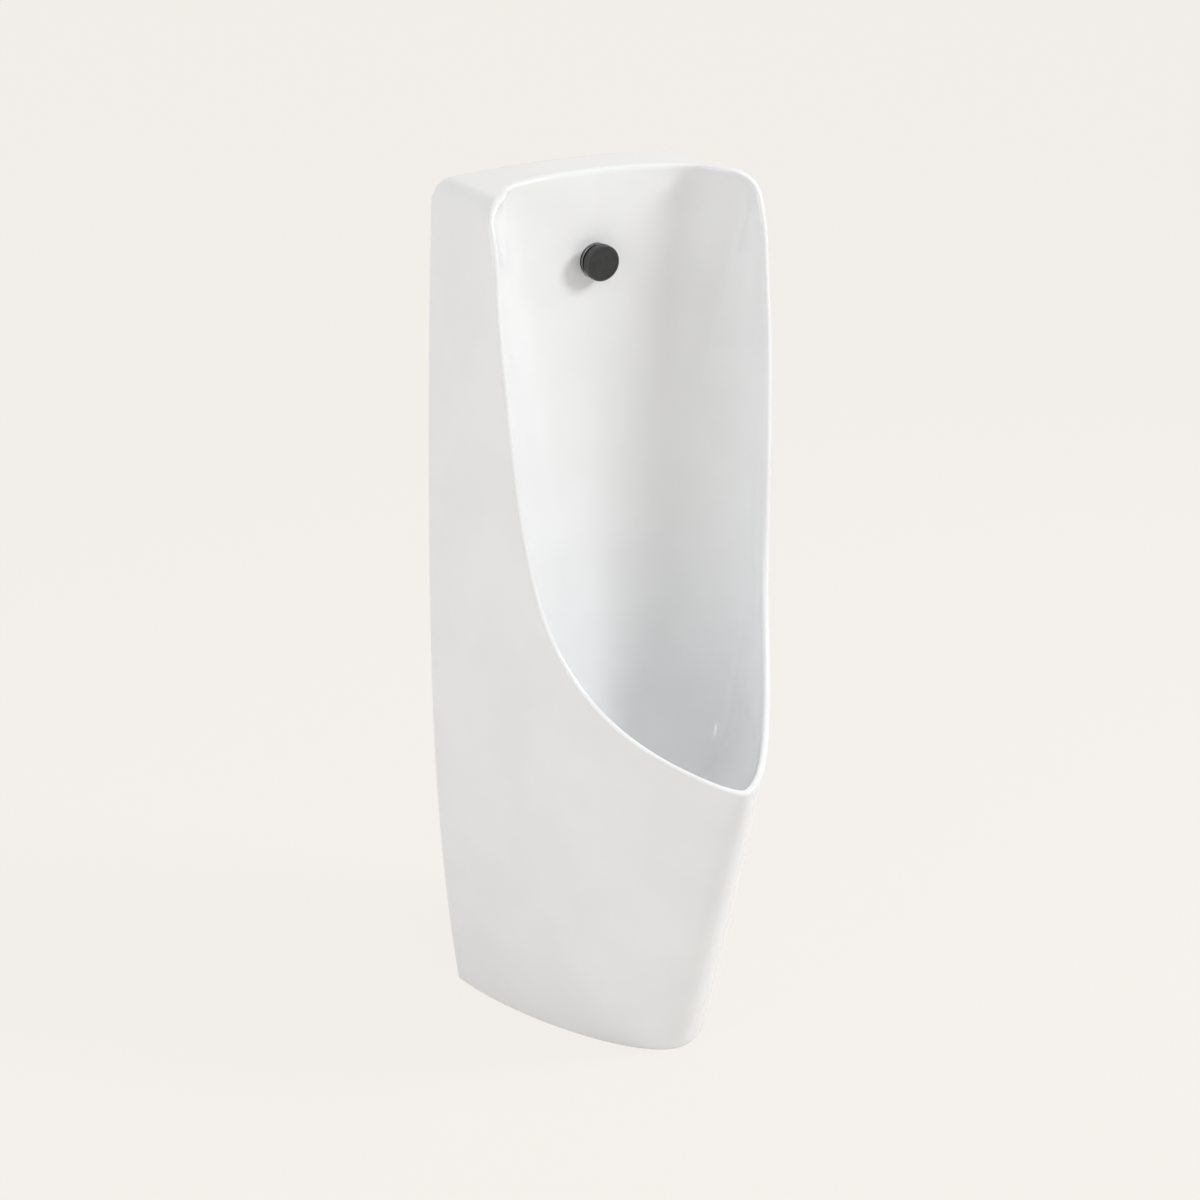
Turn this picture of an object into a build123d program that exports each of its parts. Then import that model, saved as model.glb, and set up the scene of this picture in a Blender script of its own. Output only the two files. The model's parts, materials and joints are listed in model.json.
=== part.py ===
from build123d import *
import math
import os

# Floor-standing urinal with an electronic flush, in millimetres.
# The wall stands at +Y, the user at -Y and the floor is Z = 0.
# Every place is given as a distance from the wall, which at() turns into a Y coordinate.

os.makedirs("parts", exist_ok=True)

# Ceramic body: overall sizes
height = 1000
depth = 396
wall_y = depth / 2
girth_half_width = 184
girth_height = 420
base_half_width = 160
top_half_width = 166
base_nose = 267
lip_nose = 396
lip_height = 392
side_square_height = height - 85
crown = 8
top_corner_radius = 28
rim_land = 8
shell_wall = 10
bowl_wall = 10
foot_thickness = 14
foot_width = 34
back_flange = 12
flange_width = 34
flange_bottom = 40
flange_top = height - 50
cavity_top = height - 28
flange_corner_radius = 30
behind_wall = -0.01

# Plan outline: control points as shares of half width and nose, at the base, the lip and the top
base_form = (0.91, 0.41, 0.37)
lip_form = (0.89, 0.375, 0.27)
top_form = (1.01, 0.62, 0.97)
lower_rises = (0, 0.23, 0.46, 0.69, 0.87)
upper_rises = (0, 0.087, 0.178, 0.309, 0.474, 0.655, 0.836)
above_top = 10

# Bowl
bowl_floor = 290
bowl_back_top = 62
bowl_back_lip = 118
bowl_back_height = height - 100
drain_from_wall = 200
bowl_rises = (0, 0.079, 0.178, 0.309, 0.474, 0.638, 0.803)
bowl_corner = {45: 0, 25: 5, 12: 15, 3: 28, -8: 40}
# Rim seen from the side: distance from the wall, and height as a share of the rise above the lip
rim_curve = (
    (376, 0.012), (325, 0.046), (276, 0.095), (231, 0.178), (206, 0.26), (193, 0.342), (177, 0.507),
    (166, 0.671), (153, 0.836), (148, 0.901), (138, 0.954), (116, 0.99), (100, 1),
)

# Running and assembly clearances
slip = 0.1
running = 0.05
air = 0.3

# Spreader and sensor
spreader_height = height - 102
spreader_hole_radius = 12.5
spreader_tail_radius = 12
spreader_bore = 8.5
spreader_flange_radius = 18.5
spreader_seat = 61.5
gasket_thickness = 2
spreader_flange_thickness = 3
neck_radius = 11
neck_end = 73
cap_radius = 20.3
cap_thickness = 7
cap_face = 80
cap_wall = 2
cap_tilt = 4.4
window_thickness = 2
board_thickness = 1.6

# Water line
pipe_from_wall = 24
pipe_radius = 9
pipe_bore = 7.5
tail_end = 28
elbow_arm_radius = 15
elbow_end = 40.5
elbow_bottom = spreader_height - 32
pipe_top = spreader_height - 16
clip_height = spreader_height - 78
o_ring_section = 1.3

# Flush valve
valve_height = height - 300
pipe_bottom = valve_height + 50
valve_radius = 20
valve_left = -12
valve_right = 34
chamber_radius = 16
chamber_left = 10
seat_radius = 7
seat_lip = 2
outlet_top = valve_height + 66
outlet_radius = 14
inlet_x = 20
inlet_radius = 13
inlet_end = valve_height - 60
thread_collar = 12
piston_length = 14
piston_lift = 4
piston_face = 3
bonnet_thickness = 7
tube_radius = 8
tube_bore = 6
tube_length = 36
plunger_length = 22
plunger_lift = 2.5
coil_radius = 18
coil_length = 26
screw_radius = 2
screw_circle = 18

# Stop valve
ball_height = valve_height - 94
ball_radius = 10
ball_bore = 5.5
stop_radius = 17
stop_bottom = ball_height - 21
stop_top = ball_height + 31
stop_bore = 12
seat_inner = 6.5
seat_height = 6.2
spindle_radius = 4
tang_width = 4
tang_depth = 3
boss_radius = 10
boss_length = 12
lever_length = 42
lever_width = 9
lever_thickness = 3
inlet_thread_radius = 10.48
inlet_thread_length = 15

# Service plate and fixings
plate_thickness = 2
plate_half_width = 120
plate_bottom = ball_height - 46
plate_top = height - 62
plate_hole_radius = 4.5
plate_holes_x = 200
plate_hole_edge = 29
plate_holes_z = plate_top - plate_bottom - 2 * plate_hole_edge
bracket_x = 80
bracket_width = 40
bracket_thickness = 3
bracket_bottom = height - 120
hook_height = 16
bolt_radius = 3
angle_x = 80
angle_width = 36
angle_leg = 44
angle_height = 60
angle_hole_radius = 4.5

# Control box
box_x = -84
box_z = height - 200
box_width = 70
box_height = 84
box_depth = 24
box_wall = 2
lid_travel = 60
cell_radius = 7.25
cell_length = 50.5
cell_count = 4

# Drain
drain_radius = 25
seat_recess_radius = 39
seat_recess = 292
boss_bottom = 278
drain_boss_radius = 38
waste_radius = 23
waste_bore = 20
waste_flange_radius = 38
waste_flange = 3
waste_bottom = 138
strainer_radius = 36
strainer_dome = 5
strainer_sheet = 2
strainer_lift = 40
trap_radius = 42
trap_wall = 3
trap_top = 205
trap_neck_top = 222
trap_bottom = 118
arm_height = 176
arm_radius = 23
arm_end = 128
outlet_from_wall = 88
outlet_pipe_radius = 25
outlet_pipe_wall = 2.5
elbow_drop = 140


def finish(piece, name):
    piece.part.label = name
    export_step(piece.part, f"parts/{name}.step")


def at(from_wall):
    return wall_y - from_wall


def mix(a, b, share):
    return a + (b - a) * share


def facing(from_wall):
    """Plane parallel to the wall, drawn in X and Z, extruding towards the user."""
    return Plane(origin=(0, at(from_wall), 0), x_dir=(1, 0, 0), z_dir=(0, -1, 0))


# Plan outlines of the body and of the bowl

def above_lip(share):
    """Height at a share of the rise from the lip to the top."""
    return lip_height + share * (height - lip_height)


def half_width(z):
    if z < girth_height:
        return mix(girth_half_width, base_half_width, (1 - z / girth_height) ** 2.2)
    return mix(girth_half_width, top_half_width, ((z - girth_height) / (height - girth_height)) ** 1.8)


def nose(z):
    slope = (lip_nose - base_nose) / lip_height
    if z < lip_height:
        return base_nose + slope * z
    fade = 120
    return lip_nose + slope * fade * (1 - math.exp((lip_height - z) / fade))


def form(z):
    if z < lip_height:
        return [mix(a, b, z / lip_height) for a, b in zip(base_form, lip_form)]
    share = min((z - lip_height) / (side_square_height - lip_height), 1.08)
    return [mix(a, b, share) for a, b in zip(lip_form, top_form)]


def body_outline(z, inset=0.0):
    """Right half of the plan outline as a cubic, from the wall to the nose."""
    w = half_width(z) - inset
    n = nose(z) - inset
    a, b, c = form(z)
    return [(w, 0), (w * a, n * b), (w * c, n), (0, n)]


def divide(curve, share):
    """A cubic's two parts, by de Casteljau's rule."""
    def between(p, q):
        return (mix(p[0], q[0], share), mix(p[1], q[1], share))

    ab, bc, cd = (between(p, q) for p, q in zip(curve, curve[1:]))
    abc, bcd = between(ab, bc), between(bc, cd)
    cut = between(abc, bcd)
    return [curve[0], ab, abc, cut], [cut, bcd, cd, curve[3]]


def divide_at(curve, from_wall):
    low, high = 0.0, 1.0
    for _ in range(40):
        middle = (low + high) / 2
        if divide(curve, middle)[0][3][1] < from_wall:
            low = middle
        else:
            high = middle
    return divide(curve, low)


def rim_side():
    """Side view of the rim, from in front of the lip to the top."""
    lip = [(lip_nose + 90, lip_height - 30), (lip_nose, lip_height - 2)]
    return lip + [(d, above_lip(share)) for d, share in rim_curve]


def rim_from_wall(z):
    """How far the rim stands out from the wall at a height."""
    points = sorted(rim_side()[1:], key=lambda p: p[1])
    for (near, low), (far, high) in zip(points, points[1:]):
        if low <= z <= high:
            return mix(near, far, (z - low) / (high - low))
    return points[-1][0]


def bowl_back(z):
    if z > bowl_back_height:
        return bowl_back_top + (z - bowl_back_height) * 0.03
    share = (bowl_back_height - z) / (bowl_back_height - lip_height)
    return mix(bowl_back_top, bowl_back_lip, share ** 1.8)


def bowl_outline(z, grow=0.0):
    """Right half of the bowl in plan: the front follows the body, the back is a trough."""
    level = max(z, lip_height)
    inset = rim_land + bowl_corner.get(round(height - z, 3), 0) - grow
    turn = min(rim_from_wall(level) * 0.93, 190)
    side, front = divide_at(body_outline(z, inset), turn)
    (x0, y0), (x1, y1) = front[0], front[1]
    run = math.hypot(x0 - x1, y0 - y1)
    back = bowl_back(level) - grow
    reach = 0.55 * (y0 - back)
    share = min(1, (level - lip_height) / (bowl_back_height - lip_height))
    trough = [
        (x0, y0),
        (x0 + (x0 - x1) / run * reach, y0 + (y0 - y1) / run * reach),
        (x0 * mix(0.33, 0.66, share), back),
        (0, back),
    ]
    if z >= lip_height:
        return front, trough
    drop = (lip_height - z) / (lip_height - bowl_floor + grow)
    size = math.sqrt(1 - drop ** 2)

    def drawn_in(curve):
        return [(x * size, mix(drain_from_wall, y, size)) for x, y in curve]

    return drawn_in(front), drawn_in(trough)


def right(curve):
    return [(x, at(y)) for x, y in curve]


def left(curve):
    return [(-x, at(y)) for x, y in reversed(curve)]


def body_section(z, inset=0.0, back=0.0):
    outline = divide(body_outline(z, inset), behind_wall)[1]
    w, start = outline[0]
    with BuildSketch(Plane.XY.offset(z)) as plan:
        with BuildLine():
            Bezier(*right(outline))
            Bezier(*left(outline))
            Line((-w, at(start)), (w, at(start)))
        make_face()
        if back:
            with Locations((0, wall_y)):
                Rectangle(3 * w, 2 * back, mode=Mode.SUBTRACT)
    return plan.sketch


def body_levels(low, high):
    levels = [share * lip_height for share in lower_rises] + [above_lip(share) for share in upper_rises]
    return [low] + [z for z in levels if low < z < high] + [high]


def bowl_section(z, grow=0.0):
    front, trough = bowl_outline(z, grow)
    with BuildSketch(Plane.XY.offset(z)) as plan:
        with BuildLine():
            Bezier(*right(front))
            Bezier(*left(front))
            Bezier(*left(list(reversed(trough))))
            Bezier(*right(list(reversed(trough))))
        make_face()
    return plan.sketch


def bowl_levels(grow):
    floor = bowl_floor - grow
    low = [floor + rise for rise in (2, 10, 30, 60)]
    middle = [above_lip(share) for share in bowl_rises]
    return low + middle + [height - drop for drop in bowl_corner]


# Ceramic body

with BuildPart() as outer_form:
    loft([body_section(z) for z in body_levels(0, height + above_top)])
    with Locations((0, wall_y, 0)):
        Box(4 * girth_half_width, 0.1 * depth, 3 * height, align=(Align.CENTER, Align.MIN, Align.CENTER),
            mode=Mode.SUBTRACT)
    with BuildSketch(Plane.XZ) as above_crown:
        with BuildLine():
            reach = 1.3 * top_half_width
            drop = crown * (reach / top_half_width) ** 2
            ThreePointArc((-reach, height - drop), (0, height), (reach, height - drop))
            Polyline((reach, height - drop), (reach, height + 60), (-reach, height + 60), (-reach, height - drop))
        make_face()
    extrude(amount=2 * depth, both=True, mode=Mode.SUBTRACT)
    top_edges = outer_form.faces().sort_by(Axis.Z)[-1].edges()
    fillet([e for e in top_edges if e.center().Y < wall_y - 1], top_corner_radius)

with BuildPart() as front_cut:
    with BuildSketch(Plane.YZ) as side_view:
        with BuildLine():
            rim = [(at(d), z) for d, z in rim_side()]
            Spline(*rim)
            Polyline(rim[-1], (rim[-1][0], height + 80), (rim[0][0], height + 80), rim[0])
        make_face()
    extrude(amount=2 * girth_half_width, both=True)

with BuildPart() as bowl_form:
    loft([bowl_section(z) for z in bowl_levels(0)])

with BuildPart() as bowl_shell:
    loft([bowl_section(z, bowl_wall) for z in bowl_levels(bowl_wall)])

with BuildPart() as cavity:
    loft([body_section(z, shell_wall, back_flange) for z in body_levels(foot_thickness, cavity_top)])
    add(bowl_shell.part, mode=Mode.SUBTRACT)
    with Locations((0, at(drain_from_wall), boss_bottom)):
        Cylinder(drain_boss_radius, lip_height, align=(Align.CENTER, Align.CENTER, Align.MIN), mode=Mode.SUBTRACT)

with BuildPart() as ceramic_body:
    add(outer_form.part)
    add(front_cut.part, mode=Mode.SUBTRACT)
    add(bowl_form.part, mode=Mode.SUBTRACT)
    add(cavity.part, mode=Mode.SUBTRACT)
    with BuildSketch(facing(-1)) as back_opening:
        with Locations((0, (flange_bottom + flange_top) / 2)):
            RectangleRounded(2 * (top_half_width - flange_width), flange_top - flange_bottom, flange_corner_radius)
    extrude(amount=back_flange + 2, mode=Mode.SUBTRACT)
    foot = body_section(0, foot_width, back_flange)
    extrude(foot, amount=foot_thickness + 1, mode=Mode.SUBTRACT)
    with BuildSketch(facing(pipe_from_wall)) as spreader_hole:
        with Locations((0, spreader_height)):
            Circle(spreader_hole_radius)
    extrude(amount=bowl_back_top, mode=Mode.SUBTRACT)
    with BuildSketch(facing(spreader_seat)) as spreader_spot_face:
        with Locations((0, spreader_height)):
            Circle(spreader_flange_radius + 1.5)
    extrude(amount=10, mode=Mode.SUBTRACT)
    with BuildSketch(Plane.XY.offset(boss_bottom - 1)) as drain_hole:
        with Locations((0, at(drain_from_wall))):
            Circle(drain_radius)
    extrude(amount=30, mode=Mode.SUBTRACT)
    with BuildSketch(Plane.XY.offset(seat_recess)) as strainer_recess:
        with Locations((0, at(drain_from_wall))):
            Circle(seat_recess_radius)
    extrude(amount=14, mode=Mode.SUBTRACT)
finish(ceramic_body, "ceramic_body")


# Spreader with the sensor in its cap, on the wall of the bowl

def disc(from_wall, thickness, outer, inner=0.0, z=spreader_height):
    """Sketch-built ring that lies parallel to the wall."""
    with BuildSketch(facing(from_wall)) as ring:
        with Locations((0, z)):
            Circle(outer)
            if inner:
                Circle(inner, mode=Mode.SUBTRACT)
    return extrude(ring.sketch, amount=thickness)


gasket_front = spreader_seat + gasket_thickness
flange_front = gasket_front + spreader_flange_thickness

with BuildPart() as spreader_gasket:
    add(disc(spreader_seat, gasket_thickness, spreader_flange_radius, spreader_tail_radius + slip))
finish(spreader_gasket, "spreader_gasket")

cap_plane = Plane(
    origin=(0, at(cap_face), spreader_height),
    x_dir=(1, 0, 0),
    z_dir=(0, -math.cos(math.radians(cap_tilt)), -math.sin(math.radians(cap_tilt))),
)

with BuildPart() as spreader_body:
    add(disc(gasket_front, spreader_flange_thickness, spreader_flange_radius))
    add(disc(tail_end, gasket_front - tail_end, spreader_tail_radius))
    add(disc(flange_front, cap_face - flange_front, neck_radius))
    with BuildSketch(cap_plane.offset(-cap_thickness)):
        Circle(2 * cap_radius)
    extrude(amount=3 * cap_thickness, mode=Mode.SUBTRACT)
    add(disc(tail_end, flange_front - tail_end, spreader_bore), mode=Mode.SUBTRACT)
    slot_height = 2.4
    slot_plane = facing(flange_front - 1.2)
    with BuildSketch(slot_plane):
        with Locations((0, spreader_height)):
            with PolarLocations(neck_radius, 8):
                Rectangle(neck_radius, slot_height)
    extrude(amount=slot_height + 1.2, mode=Mode.SUBTRACT)
finish(spreader_body, "spreader_body")

with BuildPart() as sensor_cap:
    with BuildSketch(cap_plane):
        Circle(cap_radius)
    extrude(amount=-cap_thickness)
    fillet(sensor_cap.edges().group_by(Axis.Y)[0], 0.8)
    with BuildSketch(cap_plane):
        Circle(cap_radius - cap_wall)
    extrude(amount=-(cap_thickness - cap_wall), mode=Mode.SUBTRACT)
finish(sensor_cap, "sensor_cap")

with BuildPart() as sensor_window:
    with BuildSketch(cap_plane.offset(-0.4)):
        Circle(cap_radius - cap_wall)
    extrude(amount=-window_thickness)
finish(sensor_window, "sensor_window")

with BuildPart() as sensor_board:
    with BuildSketch(cap_plane.offset(-cap_thickness + cap_wall)):
        Circle(cap_radius - cap_wall - slip)
        with Locations((0, cap_radius - cap_wall)):
            Rectangle(4, 3, mode=Mode.SUBTRACT)
    extrude(amount=board_thickness)
    diode_room = cap_thickness - cap_wall - board_thickness - window_thickness - 0.4
    with BuildSketch(cap_plane.offset(-cap_thickness + cap_wall + board_thickness)):
        with Locations((-7, 0), (7, 0)):
            Circle(2.5)
    extrude(amount=diode_room - slip)
finish(sensor_board, "sensor_board")

ceramic_back = bowl_back_top - bowl_wall
washer_thickness = 1.5
nut_thickness = 6

with BuildPart() as spreader_back_gasket:
    add(disc(ceramic_back - slip - gasket_thickness, gasket_thickness, spreader_flange_radius,
             spreader_tail_radius + slip))
finish(spreader_back_gasket, "spreader_back_gasket")

washer_back = ceramic_back - slip - gasket_thickness - washer_thickness
with BuildPart() as spreader_washer:
    add(disc(washer_back, washer_thickness, spreader_flange_radius, spreader_tail_radius + slip))
finish(spreader_washer, "spreader_washer")

with BuildPart() as spreader_lock_nut:
    with BuildSketch(facing(washer_back - nut_thickness)):
        with Locations((0, spreader_height)):
            RegularPolygon(spreader_flange_radius - 0.5, 6)
            Circle(spreader_tail_radius + running, mode=Mode.SUBTRACT)
    extrude(amount=nut_thickness)
    chamfer(spreader_lock_nut.faces().sort_by(Axis.Y)[-1].outer_wire().edges(), 0.8)
finish(spreader_lock_nut, "spreader_lock_nut")

# Elbow and flush pipe

groove_at = 35
with BuildPart() as flush_elbow:
    add(disc(pipe_from_wall, elbow_end - pipe_from_wall, elbow_arm_radius))
    with Locations((0, at(pipe_from_wall), spreader_height)):
        Sphere(elbow_arm_radius)
    with Locations((0, at(pipe_from_wall), elbow_bottom)):
        Cylinder(outlet_radius, spreader_height - elbow_bottom, align=(Align.CENTER, Align.CENTER, Align.MIN))
        Cylinder(pipe_bore, spreader_height - elbow_bottom, align=(Align.CENTER, Align.CENTER, Align.MIN),
                 mode=Mode.SUBTRACT)
        Cylinder(pipe_radius + running, pipe_top - elbow_bottom,
                 align=(Align.CENTER, Align.CENTER, Align.MIN), mode=Mode.SUBTRACT)
    with Locations((0, at(pipe_from_wall), spreader_height)):
        Sphere(pipe_bore, mode=Mode.SUBTRACT)
    add(disc(pipe_from_wall, elbow_end, pipe_bore), mode=Mode.SUBTRACT)
    add(disc(tail_end, elbow_end, spreader_tail_radius + running), mode=Mode.SUBTRACT)
    add(disc(groove_at - o_ring_section - running, 2 * (o_ring_section + running),
             spreader_tail_radius + 2 * o_ring_section + 2 * running), mode=Mode.SUBTRACT)
finish(flush_elbow, "flush_elbow")

with BuildPart() as elbow_o_ring:
    with BuildSketch(Plane.YZ):
        with Locations((at(groove_at), spreader_height + spreader_tail_radius + o_ring_section + running)):
            Circle(o_ring_section)
    revolve(axis=Axis((0, 0, spreader_height), (0, 1, 0)))
finish(elbow_o_ring, "elbow_o_ring")


def upright(x, low, high, outer, inner=0.0, from_wall=pipe_from_wall):
    """Upright tube or rod on the water line or the drain."""
    with BuildSketch(Plane.XY.offset(low)) as ring:
        with Locations((x, at(from_wall))):
            Circle(outer)
            if inner:
                Circle(inner, mode=Mode.SUBTRACT)
    return extrude(ring.sketch, amount=high - low)


def hexagon(x, low, high, across, inner, from_wall=pipe_from_wall):
    with BuildSketch(Plane.XY.offset(low)) as nut:
        with Locations((x, at(from_wall))):
            RegularPolygon(across / 2, 6, major_radius=False)
            Circle(inner, mode=Mode.SUBTRACT)
    return extrude(nut.sketch, amount=high - low)


with BuildPart() as flush_pipe:
    add(upright(0, pipe_bottom, pipe_top, pipe_radius, pipe_bore))
finish(flush_pipe, "flush_pipe")

with BuildPart() as pipe_clip:
    with BuildSketch(Plane.XY.offset(clip_height - 6)):
        with Locations((0, at(pipe_from_wall))):
            Circle(pipe_radius + 3)
        with Locations((0, (at(plate_thickness) + at(pipe_from_wall)) / 2)):
            Rectangle(14, pipe_from_wall - plate_thickness)
        with Locations((0, at(pipe_from_wall))):
            Circle(pipe_radius + running, mode=Mode.SUBTRACT)
        with Locations((0, at(pipe_from_wall + pipe_radius))):
            Rectangle(8, 8, mode=Mode.SUBTRACT)
    extrude(amount=12)
finish(pipe_clip, "pipe_clip")


# Electronic flush valve: pilot plunger and main piston, both on the X axis of its chamber

def across(start, end, outer, inner=0.0, z=valve_height):
    """Tube or rod along X."""
    with BuildSketch(Plane.YZ.offset(start)) as ring:
        with Locations((at(pipe_from_wall), z)):
            Circle(outer)
            if inner:
                Circle(inner, mode=Mode.SUBTRACT)
    return extrude(ring.sketch, amount=end - start)


with BuildPart() as valve_body:
    add(across(valve_left, valve_right, valve_radius))
    fillet(valve_body.edges().group_by(Axis.X)[0], 4)
    add(upright(0, valve_height, outlet_top, outlet_radius))
    add(upright(inlet_x, inlet_end, valve_height, inlet_radius))
    add(upright(inlet_x, inlet_end, inlet_end + thread_collar, inlet_radius + 2))
    add(across(chamber_left, valve_right, chamber_radius), mode=Mode.SUBTRACT)
    add(across(0, chamber_left, seat_radius), mode=Mode.SUBTRACT)
    add(upright(0, valve_height, outlet_top, seat_radius), mode=Mode.SUBTRACT)
    add(upright(0, pipe_bottom, outlet_top, pipe_radius + running), mode=Mode.SUBTRACT)
    add(upright(inlet_x, inlet_end, valve_height, seat_radius), mode=Mode.SUBTRACT)
    add(upright(inlet_x, inlet_end, inlet_end + 22, seat_radius + 2), mode=Mode.SUBTRACT)
    add(across(chamber_left, chamber_left + seat_lip, seat_radius + 2, seat_radius))
finish(valve_body, "valve_body")

piston_seat = chamber_left + seat_lip + air
with BuildPart() as valve_piston:
    add(across(piston_seat + piston_face, piston_seat + piston_length, chamber_radius - running))
    add(across(piston_seat + piston_face + 3, piston_seat + piston_length, chamber_radius - 3),
        mode=Mode.SUBTRACT)
    add(across(piston_seat, piston_seat + piston_face, seat_radius - 1.5))
finish(valve_piston, "valve_piston")

with BuildPart() as piston_seal:
    add(across(piston_seat, piston_seat + piston_face, seat_radius + 4, seat_radius - 1.5))
finish(piston_seal, "piston_seal")


def coil_spring(start, length, radius, wire, turns):
    """Open spring as one helix along X, with its ends inside its length."""
    with BuildLine() as path:
        Helix(pitch=(length - 2 * wire) / turns, height=length - 2 * wire, radius=radius,
              center=(start + wire, at(pipe_from_wall), valve_height), direction=(1, 0, 0))
    with BuildPart() as spring:
        with BuildSketch(Plane(origin=path.line @ 0, z_dir=path.line % 0)):
            Circle(wire / 2)
        sweep(path=path.line)
    return spring


piston_back = piston_seat + piston_face + 3
piston_spring = coil_spring(piston_back + air, valve_right - piston_back - 2 * air, 9.5, 1.2, 5)
finish(piston_spring, "piston_spring")

bonnet_end = valve_right + bonnet_thickness
tube_end = bonnet_end + tube_length
with BuildPart() as valve_bonnet:
    add(across(valve_right, bonnet_end, valve_radius + 2))
    fillet(valve_bonnet.edges().group_by(Axis.X)[-1], 1.5)
    add(across(valve_right, bonnet_end, 1), mode=Mode.SUBTRACT)
    with BuildSketch(Plane.YZ.offset(valve_right)):
        with Locations((at(pipe_from_wall), valve_height)):
            with PolarLocations(screw_circle, 4, start_angle=45):
                Circle(screw_radius + slip)
    extrude(amount=bonnet_thickness, mode=Mode.SUBTRACT)
finish(valve_bonnet, "valve_bonnet")

with BuildPart() as bonnet_screws:
    with BuildSketch(Plane.YZ.offset(bonnet_end)):
        with Locations((at(pipe_from_wall), valve_height)):
            with PolarLocations(screw_circle, 4, start_angle=45):
                Circle(2 * screw_radius - 0.5)
    extrude(amount=2.4)
    with BuildSketch(Plane.YZ.offset(bonnet_end)):
        with Locations((at(pipe_from_wall), valve_height)):
            with PolarLocations(screw_circle, 4, start_angle=45):
                Circle(screw_radius)
    extrude(amount=-bonnet_thickness)
finish(bonnet_screws, "bonnet_screws")

with BuildPart() as armature_tube:
    add(across(bonnet_end, tube_end, tube_radius, tube_bore))
    add(across(tube_end - 4, tube_end, tube_radius))
finish(armature_tube, "armature_tube")

plunger_start = bonnet_end + air
with BuildPart() as solenoid_plunger:
    add(across(plunger_start, plunger_start + plunger_length, tube_bore - running))
    chamfer(solenoid_plunger.edges().group_by(Axis.X)[0], 1.5)
    add(across(plunger_start + plunger_length - 9, plunger_start + plunger_length, 3.4), mode=Mode.SUBTRACT)
finish(solenoid_plunger, "solenoid_plunger")

plunger_spring_start = plunger_start + plunger_length - 9 + air
plunger_spring = coil_spring(plunger_spring_start, tube_end - 4 - air - plunger_spring_start, 2.4, 0.6, 7)
finish(plunger_spring, "plunger_spring")

coil_start = bonnet_end + 3
with BuildPart() as solenoid_coil:
    add(across(coil_start, coil_start + coil_length, coil_radius, tube_radius + running))
    fillet(solenoid_coil.edges().group_by(Axis.X)[0].filter_by(lambda e: e.radius > 10), 2)
    fillet(solenoid_coil.edges().group_by(Axis.X)[-1].filter_by(lambda e: e.radius > 10), 2)
    with Locations((coil_start + coil_length / 2, at(pipe_from_wall), valve_height + coil_radius)):
        Box(14, 12, 8)
    add(across(coil_start, coil_start + coil_length, tube_radius + running), mode=Mode.SUBTRACT)
finish(solenoid_coil, "solenoid_coil")

with BuildPart() as coil_nut:
    with BuildSketch(Plane.YZ.offset(coil_start + coil_length)):
        with Locations((at(pipe_from_wall), valve_height)):
            RegularPolygon(11, 6)
            Circle(tube_radius + running, mode=Mode.SUBTRACT)
    extrude(amount=4)
finish(coil_nut, "coil_nut")

# Stop valve under the flush valve, with a filter in the union

with BuildPart() as stop_body:
    add(upright(inlet_x, stop_bottom, stop_top, stop_radius))
    add(upright(inlet_x, stop_top - 14, stop_top, stop_radius + 2, inlet_radius + 1), mode=Mode.SUBTRACT)
    add(upright(inlet_x, stop_top - 6, stop_top, inlet_radius + 2))
    add(across(inlet_x, inlet_x + stop_radius + boss_length, boss_radius, z=ball_height))
    add(upright(inlet_x, stop_bottom, ball_height + stop_bore + slip, stop_bore), mode=Mode.SUBTRACT)
    add(upright(inlet_x, ball_height, stop_top, seat_inner), mode=Mode.SUBTRACT)
    add(across(inlet_x, inlet_x + stop_radius + boss_length, spindle_radius + running, z=ball_height),
        mode=Mode.SUBTRACT)
    add(across(inlet_x + stop_radius + 4, inlet_x + stop_radius + boss_length, spindle_radius + 2.7,
               z=ball_height), mode=Mode.SUBTRACT)
finish(stop_body, "stop_body")

with BuildPart() as ball_seats:
    add(upright(inlet_x, ball_height - stop_bore, ball_height - seat_height, stop_bore - running, seat_inner))
    add(upright(inlet_x, ball_height + seat_height, ball_height + stop_bore, stop_bore - running, seat_inner))
    with Locations((inlet_x, at(pipe_from_wall), ball_height)):
        Sphere(ball_radius + slip, mode=Mode.SUBTRACT)
finish(ball_seats, "ball_seats")

with BuildPart() as stop_ball:
    with Locations((inlet_x, at(pipe_from_wall), ball_height)):
        Sphere(ball_radius)
    add(upright(inlet_x, ball_height - ball_radius, ball_height + ball_radius, ball_bore), mode=Mode.SUBTRACT)
    with Locations((inlet_x + ball_radius - tang_depth / 2, at(pipe_from_wall), ball_height)):
        Box(tang_depth, tang_width, 2 * ball_radius, mode=Mode.SUBTRACT)
finish(stop_ball, "stop_ball")

spindle_end = inlet_x + stop_radius + boss_length + 8
with BuildPart() as stop_spindle:
    add(across(inlet_x + ball_radius, spindle_end, spindle_radius, z=ball_height))
    with Locations((inlet_x + ball_radius - tang_depth / 2, at(pipe_from_wall), ball_height)):
        Box(tang_depth, tang_width, 2 * spindle_radius)
    add(across(inlet_x + stop_bore - 2.3, inlet_x + stop_bore - 1.3, spindle_radius + 1, z=ball_height))
finish(stop_spindle, "stop_spindle")

packing_start = inlet_x + stop_radius + 4
with BuildPart() as spindle_packing:
    add(across(packing_start, packing_start + 4, spindle_radius + 2.6, spindle_radius + running, z=ball_height))
finish(spindle_packing, "spindle_packing")

with BuildPart() as gland_nut:
    gland_end = inlet_x + stop_radius + boss_length
    add(across(packing_start + 4, gland_end, spindle_radius + 2.6, spindle_radius + running, z=ball_height))
    with BuildSketch(Plane.YZ.offset(gland_end)):
        with Locations((at(pipe_from_wall), ball_height)):
            RegularPolygon(8.5, 6)
            Circle(spindle_radius + running, mode=Mode.SUBTRACT)
    extrude(amount=3.5)
finish(gland_nut, "gland_nut")

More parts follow.
